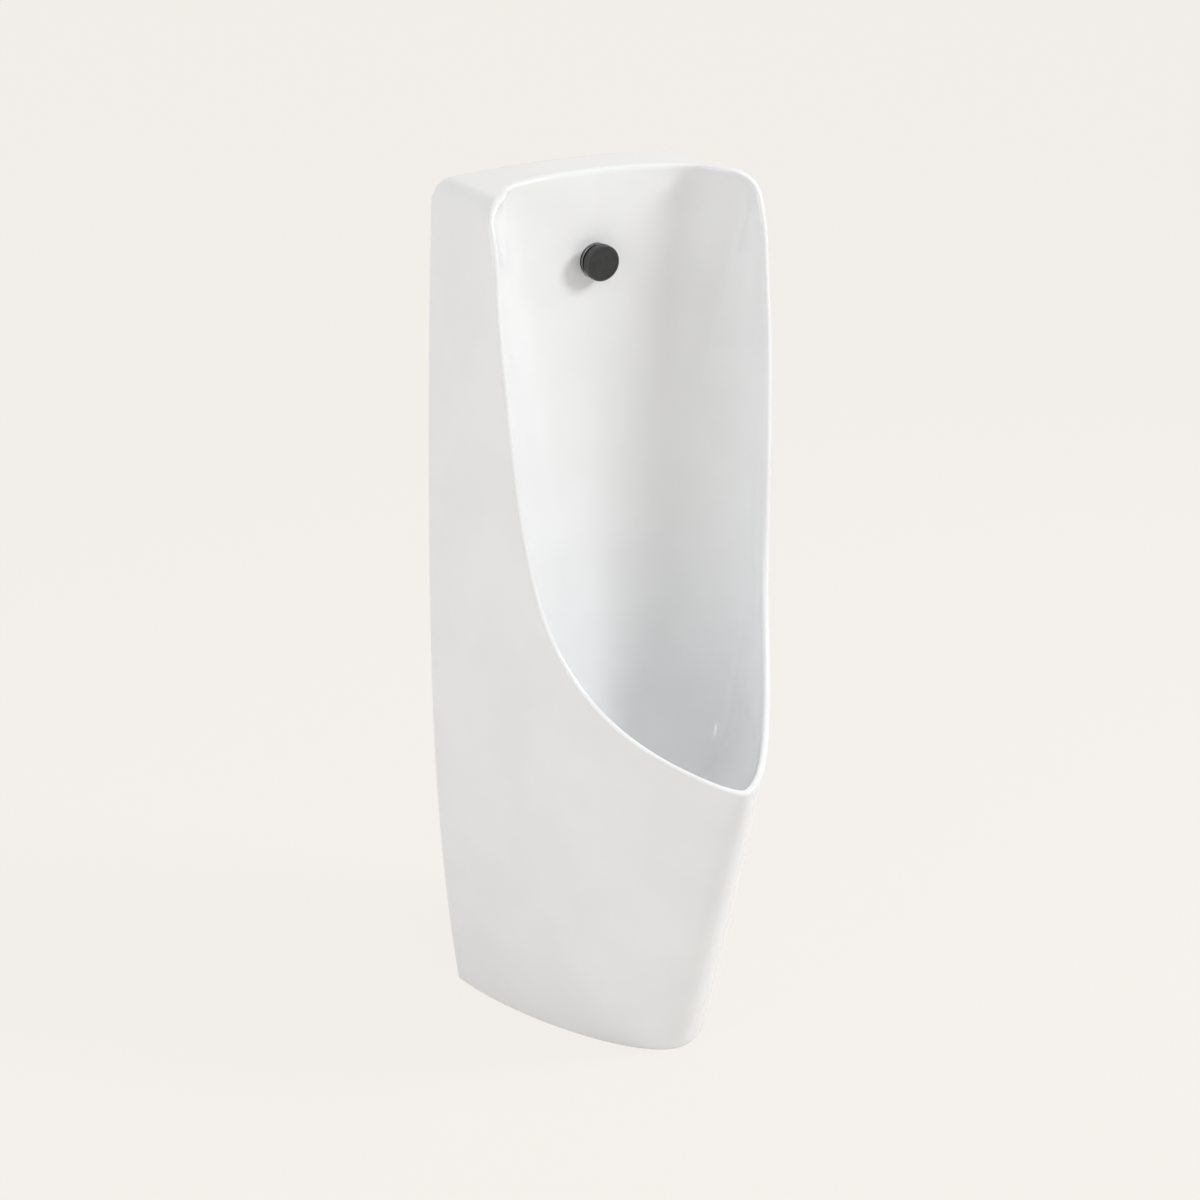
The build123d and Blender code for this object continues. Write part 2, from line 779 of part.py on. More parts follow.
lever_x = spindle_end - lever_thickness
with BuildPart() as stop_lever:
    with BuildSketch(Plane.YZ.offset(lever_x)):
        with Locations((at(pipe_from_wall), ball_height - lever_length / 2)):
            SlotCenterToCenter(lever_length, lever_width, rotation=90)
        with Locations((at(pipe_from_wall), ball_height)):
            Circle(spindle_radius + 3)
            Circle(spindle_radius, mode=Mode.SUBTRACT)
    extrude(amount=lever_thickness)
finish(stop_lever, "stop_lever")

with BuildPart() as lever_screw:
    add(across(spindle_end, spindle_end + 2.5, spindle_radius + 1.5, z=ball_height))
    fillet(lever_screw.edges().group_by(Axis.X)[-1], 1)
finish(lever_screw, "lever_screw")

connector_bottom = stop_bottom - 8 - inlet_thread_length
with BuildPart() as inlet_connector:
    add(upright(inlet_x, stop_bottom, ball_height - stop_bore, stop_bore - running))
    add(hexagon(inlet_x, stop_bottom - 8, stop_bottom, 2 * stop_radius, seat_inner))
    add(upright(inlet_x, connector_bottom, stop_bottom - 8, inlet_thread_radius))
    add(upright(inlet_x, connector_bottom, ball_height - stop_bore, seat_inner), mode=Mode.SUBTRACT)
finish(inlet_connector, "inlet_connector")

filter_flange = 1.5
with BuildPart() as inlet_filter:
    add(upright(inlet_x, stop_top, stop_top + filter_flange, seat_radius + 4, seat_radius - 1))
    add(upright(inlet_x, stop_top + filter_flange, inlet_end + 18, seat_radius + 1, seat_radius))
    add(upright(inlet_x, inlet_end + 17, inlet_end + 18, seat_radius + 1))
    with BuildSketch(Plane.XY.offset(inlet_end + 3)):
        with Locations((inlet_x, at(pipe_from_wall))):
            with PolarLocations(0, 4):
                Rectangle(3 * seat_radius, 2)
    extrude(amount=12, mode=Mode.SUBTRACT)
finish(inlet_filter, "inlet_filter")

with BuildPart() as union_washer:
    add(upright(inlet_x, stop_top + filter_flange, inlet_end, inlet_radius + 1.8, seat_radius + 1.2))
finish(union_washer, "union_washer")

with BuildPart() as union_nut:
    add(hexagon(inlet_x, stop_top - 9, inlet_end + thread_collar - 2, 36, inlet_radius + 2 + running))
    add(upright(inlet_x, stop_top - 9, stop_top - 6 - slip, inlet_radius + 2.5, inlet_radius + 1 + slip))
finish(union_nut, "union_nut")

# Service plate, brackets and floor angles

with BuildPart() as service_plate:
    with BuildSketch(facing(0)):
        with Locations((0, (plate_bottom + plate_top) / 2)):
            RectangleRounded(2 * plate_half_width, plate_top - plate_bottom, 8)
            with GridLocations(plate_holes_x, plate_holes_z, 2, 2):
                Circle(plate_hole_radius, mode=Mode.SUBTRACT)
            with GridLocations(0, 150, 1, 2):
                SlotOverall(60, 16, mode=Mode.SUBTRACT)
    extrude(amount=plate_thickness)
finish(service_plate, "service_plate")

hook_top = flange_top - air
hook_back = back_flange + air
with BuildPart() as wall_brackets:
    for x in (-bracket_x, bracket_x):
        with BuildSketch(Plane.YZ.offset(x - bracket_width / 2)):
            with BuildLine():
                t = bracket_thickness
                Polyline(
                    (at(plate_thickness), bracket_bottom), (at(plate_thickness + t), bracket_bottom),
                    (at(plate_thickness + t), hook_top - t), (at(hook_back + t), hook_top - t),
                    (at(hook_back + t), hook_top + hook_height), (at(hook_back), hook_top + hook_height),
                    (at(hook_back), hook_top), (at(plate_thickness), hook_top),
                    (at(plate_thickness), bracket_bottom),
                )
            make_face()
        extrude(amount=bracket_width)
    with BuildSketch(facing(plate_thickness - 1)):
        with Locations((-bracket_x, bracket_bottom + 20), (bracket_x, bracket_bottom + 20)):
            with GridLocations(20, 1, 2, 1):
                Circle(bolt_radius + slip)
    extrude(amount=bracket_thickness + 2, mode=Mode.SUBTRACT)
finish(wall_brackets, "wall_brackets")

with BuildPart() as bracket_bolts:
    with BuildSketch(facing(plate_thickness + bracket_thickness)):
        with Locations((-bracket_x, bracket_bottom + 20), (bracket_x, bracket_bottom + 20)):
            with GridLocations(20, 1, 2, 1):
                RegularPolygon(2 * bolt_radius - 0.5, 6)
    extrude(amount=4)
    with BuildSketch(facing(plate_thickness)):
        with Locations((-bracket_x, bracket_bottom + 20), (bracket_x, bracket_bottom + 20)):
            with GridLocations(20, 1, 2, 1):
                Circle(bolt_radius)
    extrude(amount=bracket_thickness)
finish(bracket_bolts, "bracket_bolts")

with BuildPart() as floor_angles:
    for x in (-angle_x, angle_x):
        with BuildSketch(Plane.YZ.offset(x - angle_width / 2)):
            with BuildLine():
                Polyline(
                    (at(hook_back), 0), (at(hook_back + angle_leg), 0),
                    (at(hook_back + angle_leg), bracket_thickness),
                    (at(hook_back + bracket_thickness), bracket_thickness),
                    (at(hook_back + bracket_thickness), angle_height), (at(hook_back), angle_height),
                    (at(hook_back), 0),
                )
            make_face()
        extrude(amount=angle_width)
    with BuildSketch(Plane.XY):
        with Locations((-angle_x, at(hook_back + angle_leg - 16)), (angle_x, at(hook_back + angle_leg - 16))):
            Circle(angle_hole_radius)
    extrude(amount=bracket_thickness, mode=Mode.SUBTRACT)
finish(floor_angles, "floor_angles")

# Control box with its battery cells

box_front = plate_thickness + box_depth
with BuildPart() as control_box:
    with BuildSketch(facing(plate_thickness)):
        with Locations((box_x, box_z)):
            RectangleRounded(box_width, box_height, 4)
    extrude(amount=box_depth)
    with BuildSketch(facing(plate_thickness + box_wall)):
        with Locations((box_x, box_z)):
            RectangleRounded(box_width - 2 * box_wall, box_height - 2 * box_wall, 2)
    extrude(amount=box_depth, mode=Mode.SUBTRACT)
    with BuildSketch(facing(plate_thickness + box_wall)):
        with Locations((box_x, box_z + box_height / 2 - 22)):
            Rectangle(box_width - 2 * box_wall, 1.6)
    extrude(amount=box_depth - box_wall - 3)
    with BuildSketch(facing(box_front)):
        with Locations((box_x - box_width / 2 + 1.5, box_z), (box_x + box_width / 2 - 1.5, box_z)):
            Rectangle(3, box_height - 10)
    extrude(amount=2.5)
finish(control_box, "control_box")

with BuildPart() as box_lid:
    with BuildSketch(facing(box_front + air)):
        with Locations((box_x, box_z)):
            Rectangle(box_width - 6 - 2 * air, box_height)
    extrude(amount=2)
    fillet(box_lid.edges().filter_by(Axis.Y), 2)
    with BuildSketch(facing(box_front + air + 2)):
        with Locations((box_x, box_z + box_height / 2 - 10)):
            with GridLocations(1, 3, 1, 4):
                Rectangle(24, 1.2)
    extrude(amount=0.8)
finish(box_lid, "box_lid")

cell_pitch = (box_width - 2 * box_wall) / cell_count
cell_z = box_z - box_height / 2 + box_wall + 3 + cell_length / 2
cell_from_wall = plate_thickness + box_wall + cell_radius + slip
with BuildPart() as battery_cells:
    with BuildSketch(Plane.XY.offset(cell_z - cell_length / 2)):
        with Locations((box_x, at(cell_from_wall))):
            with GridLocations(cell_pitch, 1, cell_count, 1):
                Circle(cell_radius)
    extrude(amount=cell_length - 1.5)
    with BuildSketch(Plane.XY.offset(cell_z + cell_length / 2 - 1.5)):
        with Locations((box_x, at(cell_from_wall))):
            with GridLocations(cell_pitch, 1, cell_count, 1):
                Circle(2.7)
    extrude(amount=1.5)
finish(battery_cells, "battery_cells")

with BuildPart() as battery_contacts:
    for z, side in ((cell_z - cell_length / 2 - 1, -1), (cell_z + cell_length / 2 + 0.5, 1)):
        with BuildSketch(Plane.XY.offset(z - 0.5)):
            with Locations((box_x, at(cell_from_wall))):
                with GridLocations(2 * cell_pitch, 1, cell_count // 2, 1):
                    Rectangle(2 * cell_pitch - 4, 8)
        extrude(amount=0.9)
finish(battery_contacts, "battery_contacts")

with BuildPart() as control_board:
    with BuildSketch(facing(plate_thickness + box_wall + 4)):
        with Locations((box_x, box_z + box_height / 2 - 11.6)):
            Rectangle(box_width - 2 * box_wall - 2, 16)
    extrude(amount=board_thickness)
    with BuildSketch(facing(plate_thickness + box_wall + 4 + board_thickness)):
        with Locations((box_x - 14, box_z + box_height / 2 - 11.6)):
            Rectangle(14, 9)
        with Locations((box_x + 12, box_z + box_height / 2 - 11.6)):
            Rectangle(8, 11)
    extrude(amount=2.5)
    with BuildSketch(facing(plate_thickness + box_wall)):
        with Locations((box_x, box_z + box_height / 2 - 11.6)):
            with GridLocations(box_width - 14, 1, 2, 1):
                Circle(1.8)
    extrude(amount=4)
finish(control_board, "control_board")


# Drain: strainer, waste fitting, bottle trap and floor outlet

def drain_ring(low, high, outer, inner=0.0, from_wall=drain_from_wall):
    return upright(0, low, high, outer, inner, from_wall)


flange_low = seat_recess
flange_high = seat_recess + waste_flange
with BuildPart() as waste_fitting:
    add(drain_ring(flange_low, flange_high, waste_flange_radius, waste_bore))
    add(drain_ring(waste_bottom, flange_low, waste_radius, waste_bore))
finish(waste_fitting, "waste_fitting")

strainer_low = flange_high + air
with BuildPart() as strainer:
    with BuildSketch(Plane.YZ) as half_profile:
        with BuildLine():
            rim_z = strainer_low
            ThreePointArc(
                (0, rim_z + strainer_dome + strainer_sheet),
                (strainer_radius * 0.5, rim_z + strainer_dome * 0.76 + strainer_sheet),
                (strainer_radius, rim_z + strainer_sheet),
            )
            Polyline((strainer_radius, rim_z + strainer_sheet), (strainer_radius, rim_z),
                     (strainer_radius - 3, rim_z))
            ThreePointArc(
                (strainer_radius - 3, rim_z), (strainer_radius * 0.5, rim_z + strainer_dome * 0.72),
                (0, rim_z + strainer_dome),
            )
            Line((0, rim_z + strainer_dome), (0, rim_z + strainer_dome + strainer_sheet))
        make_face()
    revolve(axis=Axis.Z)
    with BuildSketch(Plane.XY.offset(rim_z - 1)):
        Circle(2.5)
        for ring_radius, holes in ((8, 6), (15, 12), (22, 18), (28, 24)):
            with PolarLocations(ring_radius, holes):
                Circle(2.2)
    extrude(amount=strainer_dome + 10, mode=Mode.SUBTRACT)
    with BuildSketch(Plane.XY.offset(rim_z - 8)):
        Circle(waste_bore - air)
        Circle(waste_bore - air - 1.5, mode=Mode.SUBTRACT)
    extrude(amount=13)
strainer.part = strainer.part.moved(Location((0, at(drain_from_wall), 0)))
finish(strainer, "strainer")

with BuildPart() as waste_gasket:
    add(drain_ring(boss_bottom - 4, boss_bottom, drain_boss_radius - 3, waste_radius + slip))
finish(waste_gasket, "waste_gasket")

with BuildPart() as waste_washer:
    add(drain_ring(boss_bottom - 5.5, boss_bottom - 4, drain_boss_radius - 3, waste_radius + slip))
finish(waste_washer, "waste_washer")

with BuildPart() as waste_nut:
    add(hexagon(0, boss_bottom - 17, boss_bottom - 5.5, 62, waste_radius + running, drain_from_wall))
    chamfer(waste_nut.faces().sort_by(Axis.Z)[0].outer_wire().edges(), 1.5)
finish(waste_nut, "waste_nut")

with BuildPart() as trap_body:
    add(drain_ring(trap_bottom, trap_top, trap_radius, trap_radius - trap_wall))
    add(drain_ring(trap_top - trap_wall, trap_top, trap_radius, waste_radius + slip))
    add(drain_ring(trap_top, trap_neck_top, waste_radius + 4, waste_radius + slip))
    fillet(trap_body.edges().filter_by(GeomType.CIRCLE).filter_by(
        lambda e: abs(e.radius - trap_radius) < 0.01 and abs(e.center().Z - trap_top) < 0.01), 2.5)
    with BuildSketch(facing(arm_end)):
        with Locations((0, arm_height)):
            Circle(arm_radius)
    extrude(amount=drain_from_wall - trap_radius + trap_wall - arm_end + 4)
    with BuildSketch(facing(arm_end)):
        with Locations((0, arm_height)):
            Circle(arm_radius - outlet_pipe_wall)
    extrude(amount=drain_from_wall - trap_radius + trap_wall - arm_end + 8, mode=Mode.SUBTRACT)
    add(drain_ring(trap_bottom, trap_top - trap_wall, trap_radius - trap_wall), mode=Mode.SUBTRACT)
finish(trap_body, "trap_body")

with BuildPart() as trap_cone_seal:
    add(drain_ring(trap_neck_top, trap_neck_top + 4, waste_radius + 4, waste_radius + slip))
    chamfer(trap_cone_seal.faces().sort_by(Axis.Z)[-1].outer_wire().edges(), 2.5)
finish(trap_cone_seal, "trap_cone_seal")

with BuildPart() as trap_nut:
    add(drain_ring(trap_neck_top - 13, trap_neck_top + 4, waste_radius + 10, waste_radius + 4 + running))
    add(drain_ring(trap_neck_top + 4, trap_neck_top + 7, waste_radius + 10, waste_radius + slip))
    with BuildSketch(Plane.XY.offset(trap_neck_top - 13)):
        with Locations((0, at(drain_from_wall))):
            with PolarLocations(waste_radius + 10, 12):
                Circle(1.5)
    extrude(amount=20)
    add(drain_ring(trap_neck_top - 13, trap_neck_top + 4, waste_radius + 4 + running), mode=Mode.SUBTRACT)
finish(trap_nut, "trap_nut")

cup_bottom = trap_bottom - 8
with BuildPart() as trap_cup:
    add(drain_ring(cup_bottom, trap_bottom + 14, trap_radius + 5, trap_radius + running))
    add(drain_ring(cup_bottom, trap_bottom - 3, trap_radius + 5))
    fillet(trap_cup.edges().group_by(Axis.Z)[0], 4)
    with BuildSketch(Plane.XY.offset(trap_bottom - 2)):
        with Locations((0, at(drain_from_wall))):
            with PolarLocations(trap_radius + 5, 16):
                Circle(1.8)
    extrude(amount=14)
    add(drain_ring(trap_bottom - 3, trap_bottom + 14, trap_radius + running), mode=Mode.SUBTRACT)
finish(trap_cup, "trap_cup")

with BuildPart() as trap_cup_seal:
    add(drain_ring(trap_bottom - 3, trap_bottom, trap_radius, trap_radius - 5))
finish(trap_cup_seal, "trap_cup_seal")

with BuildPart() as outlet_elbow:
    with BuildSketch(facing(outlet_from_wall)):
        with Locations((0, arm_height)):
            Circle(arm_radius + 2)
    extrude(amount=arm_end - slip - outlet_from_wall)
    with Locations((0, at(outlet_from_wall), arm_height)):
        Sphere(arm_radius + 2)
    add(drain_ring(elbow_drop - 20, arm_height, outlet_pipe_radius + 3, from_wall=outlet_from_wall))
    with BuildSketch(facing(outlet_from_wall)):
        with Locations((0, arm_height)):
            Circle(arm_radius - outlet_pipe_wall)
    extrude(amount=arm_end, mode=Mode.SUBTRACT)
    with Locations((0, at(outlet_from_wall), arm_height)):
        Sphere(arm_radius - outlet_pipe_wall, mode=Mode.SUBTRACT)
    add(drain_ring(elbow_drop - 20, arm_height, arm_radius - outlet_pipe_wall, from_wall=outlet_from_wall),
        mode=Mode.SUBTRACT)
    add(drain_ring(elbow_drop - 20, elbow_drop, outlet_pipe_radius + slip, from_wall=outlet_from_wall),
        mode=Mode.SUBTRACT)
finish(outlet_elbow, "outlet_elbow")

with BuildPart() as outlet_nut:
    with BuildSketch(facing(arm_end - 9)):
        with Locations((0, arm_height)):
            Circle(arm_radius + 7)
            with PolarLocations(arm_radius + 7, 12):
                Circle(1.5)
            Circle(arm_radius + 2 + running, mode=Mode.SUBTRACT)
    extrude(amount=18)
    with BuildSketch(facing(arm_end)):
        with Locations((0, arm_height)):
            Circle(arm_radius + 2 + running)
            Circle(arm_radius + running, mode=Mode.SUBTRACT)
    extrude(amount=9)
finish(outlet_nut, "outlet_nut")

with BuildPart() as outlet_pipe:
    add(drain_ring(0, elbow_drop, outlet_pipe_radius, outlet_pipe_radius - outlet_pipe_wall,
                   outlet_from_wall))
finish(outlet_pipe, "outlet_pipe")

floor_ring_height = 8
with BuildPart() as floor_flange:
    add(drain_ring(0, floor_ring_height, outlet_pipe_radius + 24, outlet_pipe_radius + slip, outlet_from_wall))
    chamfer(floor_flange.faces().sort_by(Axis.Z)[-1].outer_wire().edges(), 3)
finish(floor_flange, "floor_flange")

with BuildPart() as floor_seal:
    add(drain_ring(floor_ring_height, floor_ring_height + 7, outlet_pipe_radius + 8,
                   outlet_pipe_radius + slip, outlet_from_wall))
    chamfer(floor_seal.faces().sort_by(Axis.Z)[-1].outer_wire().edges(), 4)
finish(floor_seal, "floor_seal")
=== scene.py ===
"""Floor-standing urinal: glazed china body, sensor spreader, flush line and waste, on its CAD frame."""

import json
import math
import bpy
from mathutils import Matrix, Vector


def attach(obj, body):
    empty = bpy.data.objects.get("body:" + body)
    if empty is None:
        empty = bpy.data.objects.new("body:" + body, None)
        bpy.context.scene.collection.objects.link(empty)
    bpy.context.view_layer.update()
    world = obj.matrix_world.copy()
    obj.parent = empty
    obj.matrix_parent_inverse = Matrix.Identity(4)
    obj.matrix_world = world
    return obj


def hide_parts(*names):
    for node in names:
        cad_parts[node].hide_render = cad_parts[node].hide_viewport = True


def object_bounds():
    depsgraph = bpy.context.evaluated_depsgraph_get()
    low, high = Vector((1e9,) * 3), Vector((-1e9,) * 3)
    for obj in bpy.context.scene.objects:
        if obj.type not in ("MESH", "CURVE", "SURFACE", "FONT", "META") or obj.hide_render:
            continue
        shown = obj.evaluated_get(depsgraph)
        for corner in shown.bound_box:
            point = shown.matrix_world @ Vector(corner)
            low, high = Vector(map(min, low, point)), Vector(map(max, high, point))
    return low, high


bl_info = {
    "name": "Floor-standing urinal",
    "version": (1, 0, 0),
    "blender": (4, 5, 0),
    "location": "View3D > Sidebar > Urinal",
    "description": "Makes the glazed body and the finishes of a floor-standing urinal on its packed frame",
    "category": "Object",
}

import bmesh
import bpy
import numpy as np
from mathutils import Matrix, Vector

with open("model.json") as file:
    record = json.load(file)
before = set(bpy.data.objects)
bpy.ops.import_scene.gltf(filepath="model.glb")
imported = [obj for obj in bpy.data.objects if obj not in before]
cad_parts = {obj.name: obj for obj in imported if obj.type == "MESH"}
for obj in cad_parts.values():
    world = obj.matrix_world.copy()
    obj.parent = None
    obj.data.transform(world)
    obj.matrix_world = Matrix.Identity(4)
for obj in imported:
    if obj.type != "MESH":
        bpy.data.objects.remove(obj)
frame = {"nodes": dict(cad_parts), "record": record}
cad_low, cad_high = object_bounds()

MM = 0.001

# The mould's sizes in millimetres. Distances run from the wall towards the user.
WALL_Y = cad_high.y / MM
HEIGHT = 1000.0
GIRTH_HALF_WIDTH = 184.0
GIRTH_HEIGHT = 420.0
BASE_HALF_WIDTH = 160.0
TOP_HALF_WIDTH = 166.0
BASE_NOSE = 267.0
LIP_NOSE = 396.0
LIP_HEIGHT = 392.0
NOSE_FADE = 120.0
SIDE_SQUARE_HEIGHT = 915.0
CROWN = 8.0
TOP_CORNER = 28.0
RIM_LAND = 8.0
FORM_LIMIT = 1.08
BASE_FORM = (0.91, 0.41, 0.37)
LIP_FORM = (0.89, 0.375, 0.27)
TOP_FORM = (1.01, 0.62, 0.97)
BODY_LEVELS = (0, 90, 180, 270, 340, 392, 445, 500, 580, 680, 790, 900, 1010)
BOWL_LEVELS = (240, 290, 340, 392, 440, 500, 580, 680, 780, 880, 960, 1010)
BOWL_FLOOR = 290.0
BOWL_BACK_TOP = 62.0
BOWL_BACK_LIP = 118.0
BOWL_BACK_HEIGHT = 900.0
BOWL_BACK_LEAN = 0.03
BOWL_TURN_SHARE = 0.93
BOWL_TURN_LIMIT = 190
BOWL_TOP = 1008
BOWL_CORNER = ((900, 0), (940, 0), (955, 0.6), (975, 5), (988, 14), (997, 26), (1008, 42))
DRAIN = 200.0
RIM_SIDE = (
    (396, 390), (376, 399), (325, 420), (276, 450), (231, 500), (206, 550), (193, 600),
    (177, 700), (166, 800), (153, 900), (148, 940), (139, 967), (128, 987),
)
# Round the top corner and along the top: distance from the wall, half width
RIM_TOP = ((114, 138), (101, 127), (87, 117), (75, 101), (67.5, 73), (63.5, 38), (62, 0))


def mix(a, b, share):
    return a + (b - a) * share


def smooth_through(knots, values):
    """A natural cubic through values at knots, as a loft passes through its sections."""
    place, row = np.array(knots, float), np.array(values, float)
    step = np.diff(place)
    rise = np.diff(row, axis=0) / step[:, None]
    system, bend = np.eye(len(place)), np.zeros_like(row)
    for i in range(1, len(place) - 1):
        system[i, i - 1:i + 2] = step[i - 1], 2 * (step[i - 1] + step[i]), step[i]
        bend[i] = 6 * (rise[i] - rise[i - 1])
    bend = np.linalg.solve(system, bend)

    def value(x):
        i = int(np.clip(np.searchsorted(place, x) - 1, 0, len(step) - 1))
        a = (place[i + 1] - x) / step[i]
        b = 1 - a
        curve = (a ** 3 - a) * bend[i] + (b ** 3 - b) * bend[i + 1]
        return a * row[i] + b * row[i + 1] + curve * step[i] ** 2 / 6

    return value


def cubic(points, t):
    """Points of a cubic outline at the shares t."""
    t = np.atleast_1d(t)[:, None]
    p = np.asarray(points, float)
    return (1 - t) ** 3 * p[0] + 3 * (1 - t) ** 2 * t * p[1] + 3 * (1 - t) * t ** 2 * p[2] + t ** 3 * p[3]


def lengths(points):
    return np.concatenate([[0], np.cumsum(np.linalg.norm(np.diff(points, axis=0), axis=1))])


def form_at(z):
    """Handles of the body's outline, mixed from foot to lip and from lip to top."""
    if z < LIP_HEIGHT:
        return [mix(a, b, z / LIP_HEIGHT) for a, b in zip(BASE_FORM, LIP_FORM)]
    share = min((z - LIP_HEIGHT) / (SIDE_SQUARE_HEIGHT - LIP_HEIGHT), FORM_LIMIT)
    return [mix(a, b, share) for a, b in zip(LIP_FORM, TOP_FORM)]


body_form = smooth_through(BODY_LEVELS, [form_at(z) for z in BODY_LEVELS])
rim_side = smooth_through([z for _, z in RIM_SIDE], [[d] for d, _ in RIM_SIDE])
bowl_corner = smooth_through([z for z, _ in BOWL_CORNER], [[inset] for _, inset in BOWL_CORNER])


def half_width(z):
    if z < GIRTH_HEIGHT:
        return mix(GIRTH_HALF_WIDTH, BASE_HALF_WIDTH, (1 - z / GIRTH_HEIGHT) ** 2.2)
    return mix(GIRTH_HALF_WIDTH, TOP_HALF_WIDTH, ((z - GIRTH_HEIGHT) / (HEIGHT - GIRTH_HEIGHT)) ** 1.8)


def nose(z):
    slope = (LIP_NOSE - BASE_NOSE) / LIP_HEIGHT
    if z < LIP_HEIGHT:
        return BASE_NOSE + slope * z
    return LIP_NOSE + slope * NOSE_FADE * (1 - math.exp((LIP_HEIGHT - z) / NOSE_FADE))


def body_outline(z, inset=0.0):
    """Right half of the body in plan, from the wall to the nose."""
    width, reach = half_width(z) - inset, nose(z) - inset
    a, b, c = body_form(z)
    return [(width, 0), (width * a, reach * b), (width * c, reach), (0, reach)]


def split(curve, share):
    """A cubic's two parts at a share of its parameter."""
    p = [np.array(q, float) for q in curve]
    ab, bc, cd = (mix(q, r, share) for q, r in zip(p, p[1:]))
    abc, bcd = mix(ab, bc, share), mix(bc, cd, share)
    cut = mix(abc, bcd, share)
    return [p[0], ab, abc, cut], [cut, bcd, cd, p[3]]


def rim_reach(z):
    return float(rim_side(min(max(z, RIM_SIDE[0][1]), RIM_SIDE[-1][1]))[0])


bowl_turn = smooth_through(
    BOWL_LEVELS, [[min(rim_reach(z) * BOWL_TURN_SHARE, BOWL_TURN_LIMIT)] for z in BOWL_LEVELS])


def bowl_back(z):
    if z > BOWL_BACK_HEIGHT:
        return BOWL_BACK_TOP + (z - BOWL_BACK_HEIGHT) * BOWL_BACK_LEAN
    share = (BOWL_BACK_HEIGHT - z) / (BOWL_BACK_HEIGHT - LIP_HEIGHT)
    return mix(BOWL_BACK_TOP, BOWL_BACK_LIP, share ** 1.8)


def bowl_outline(z, grow=0.0):
    """Right half of the bowl in plan: the trough from the middle of its back, then its front."""
    inset = RIM_LAND - grow + (float(bowl_corner(z)[0]) if z > 950 else 0.0)
    outline = body_outline(z, inset)
    t = np.linspace(0, 1, 201)
    turn = float(bowl_turn(z)[0])
    front = split(outline, float(np.interp(turn, cubic(outline, t)[:, 1], t)))[1]
    run = (front[0] - front[1]) / np.linalg.norm(front[0] - front[1])
    back = bowl_back(z) - grow
    share = min(1.0, max(0.0, (z - LIP_HEIGHT) / (BOWL_BACK_HEIGHT - LIP_HEIGHT)))
    reach = 0.55 * (front[0][1] - back)
    trough = [(0, back), (front[0][0] * mix(0.33, 0.66, share), back), front[0] + run * reach, front[0]]
    return trough, front


EASE = 14.0


def eased(points):
    """An outline whose bends ease into each other, and which crosses the middle squarely."""
    run = lengths(points)
    even = np.linspace(0, run[-1], 601)
    rows = np.stack([np.interp(even, run, points[:, i]) for i in (0, 1)], axis=1)
    reach = int(3 * EASE / even[1])
    flip = np.array([-1.0, 1.0])
    rows = np.concatenate([rows[reach:0:-1] * flip, rows, rows[-2:-reach - 2:-1] * flip])
    weights = np.exp(-0.5 * (np.arange(-reach, reach + 1) * even[1] / EASE) ** 2)
    weights /= weights.sum()
    return np.stack([np.convolve(rows[:, i], weights, "valid") for i in (0, 1)], axis=1)


class Halfline:
    """One half outline in plan that is read by shares of its length."""

    def __init__(self, *cubics):
        t = np.linspace(0, 1, 500)
        points = np.concatenate([cubic(curve, t)[i > 0:] for i, curve in enumerate(cubics)])
        self.points = eased(points) if len(cubics) > 1 else points
        self.lengths = lengths(self.points)
        self.length = self.lengths[-1]

    def at(self, share):
        return np.array([np.interp(share * self.length, self.lengths, self.points[:, i]) for i in (0, 1)])


known_lines = {}


def body_line(z):
    key = ("body", round(z, 2))
    if key not in known_lines:
        known_lines[key] = Halfline(body_outline(key[1]))
    return known_lines[key]


def bowl_line(z):
    key = ("bowl", round(z, 2))
    if key not in known_lines:
        known_lines[key] = Halfline(*bowl_outline(key[1]))
    return known_lines[key]


# Outer skin: share runs round the plan from the wall, rise runs up the side, over the corner and inwards

SIDE_TOP = 966.0
TOP_RUN = 140.0


def crown_height(x):
    return HEIGHT - CROWN * (x / TOP_HALF_WIDTH) ** 2


def corner_of(side_x):
    """Centre and turn of the rounding between the side and the crowned top."""
    centre_x, lean = side_x - TOP_CORNER, 0.08
    for _ in range(6):
        lean = math.atan(2 * CROWN * (centre_x + TOP_CORNER * math.sin(lean)) / TOP_HALF_WIDTH ** 2)
    end_x = centre_x + TOP_CORNER * math.sin(lean)
    return centre_x, crown_height(end_x) - TOP_CORNER * math.cos(lean), math.pi / 2 - lean, end_x


ARC = corner_of(TOP_HALF_WIDTH)[2] * TOP_CORNER
RISE_END = SIDE_TOP + ARC + TOP_RUN


def skin_point(share, rise):
    """Half width, distance from the wall and height."""
    if rise <= SIDE_TOP:
        x, d = body_line(rise).at(share)
        return np.array([x, d, rise])
    side_x, d = body_line(SIDE_TOP).at(share)
    centre_x, centre_z, turn, end_x = corner_of(side_x)
    if rise <= SIDE_TOP + ARC:
        angle = turn * (rise - SIDE_TOP) / ARC
        flat = np.array([centre_x + TOP_CORNER * math.cos(angle), d, centre_z + TOP_CORNER * math.sin(angle)])
        return flat + np.array([0, 0, (SIDE_TOP - centre_z) * (1 - angle / turn)])
    x = end_x * (1 - (rise - SIDE_TOP - ARC) / TOP_RUN)
    return np.array([x, d, crown_height(x)])


# Bowl: share runs round the plan from the middle of the back, sink runs down the wall and in to the drain

BOWL_DEPTH = LIP_HEIGHT - BOWL_FLOOR
BOWL_ROUND = 105.0


def bowl_point(share, sink):
    if sink >= LIP_HEIGHT:
        x, d = bowl_line(min(sink, BOWL_TOP)).at(share)
        return np.array([x, d, sink])
    angle = min((LIP_HEIGHT - sink) / BOWL_ROUND, 1.57)
    z = LIP_HEIGHT - BOWL_DEPTH * math.sin(angle)
    x, d = bowl_line(z).at(share)
    size = math.cos(angle)
    return np.array([x * size, mix(DRAIN, d, size), z])


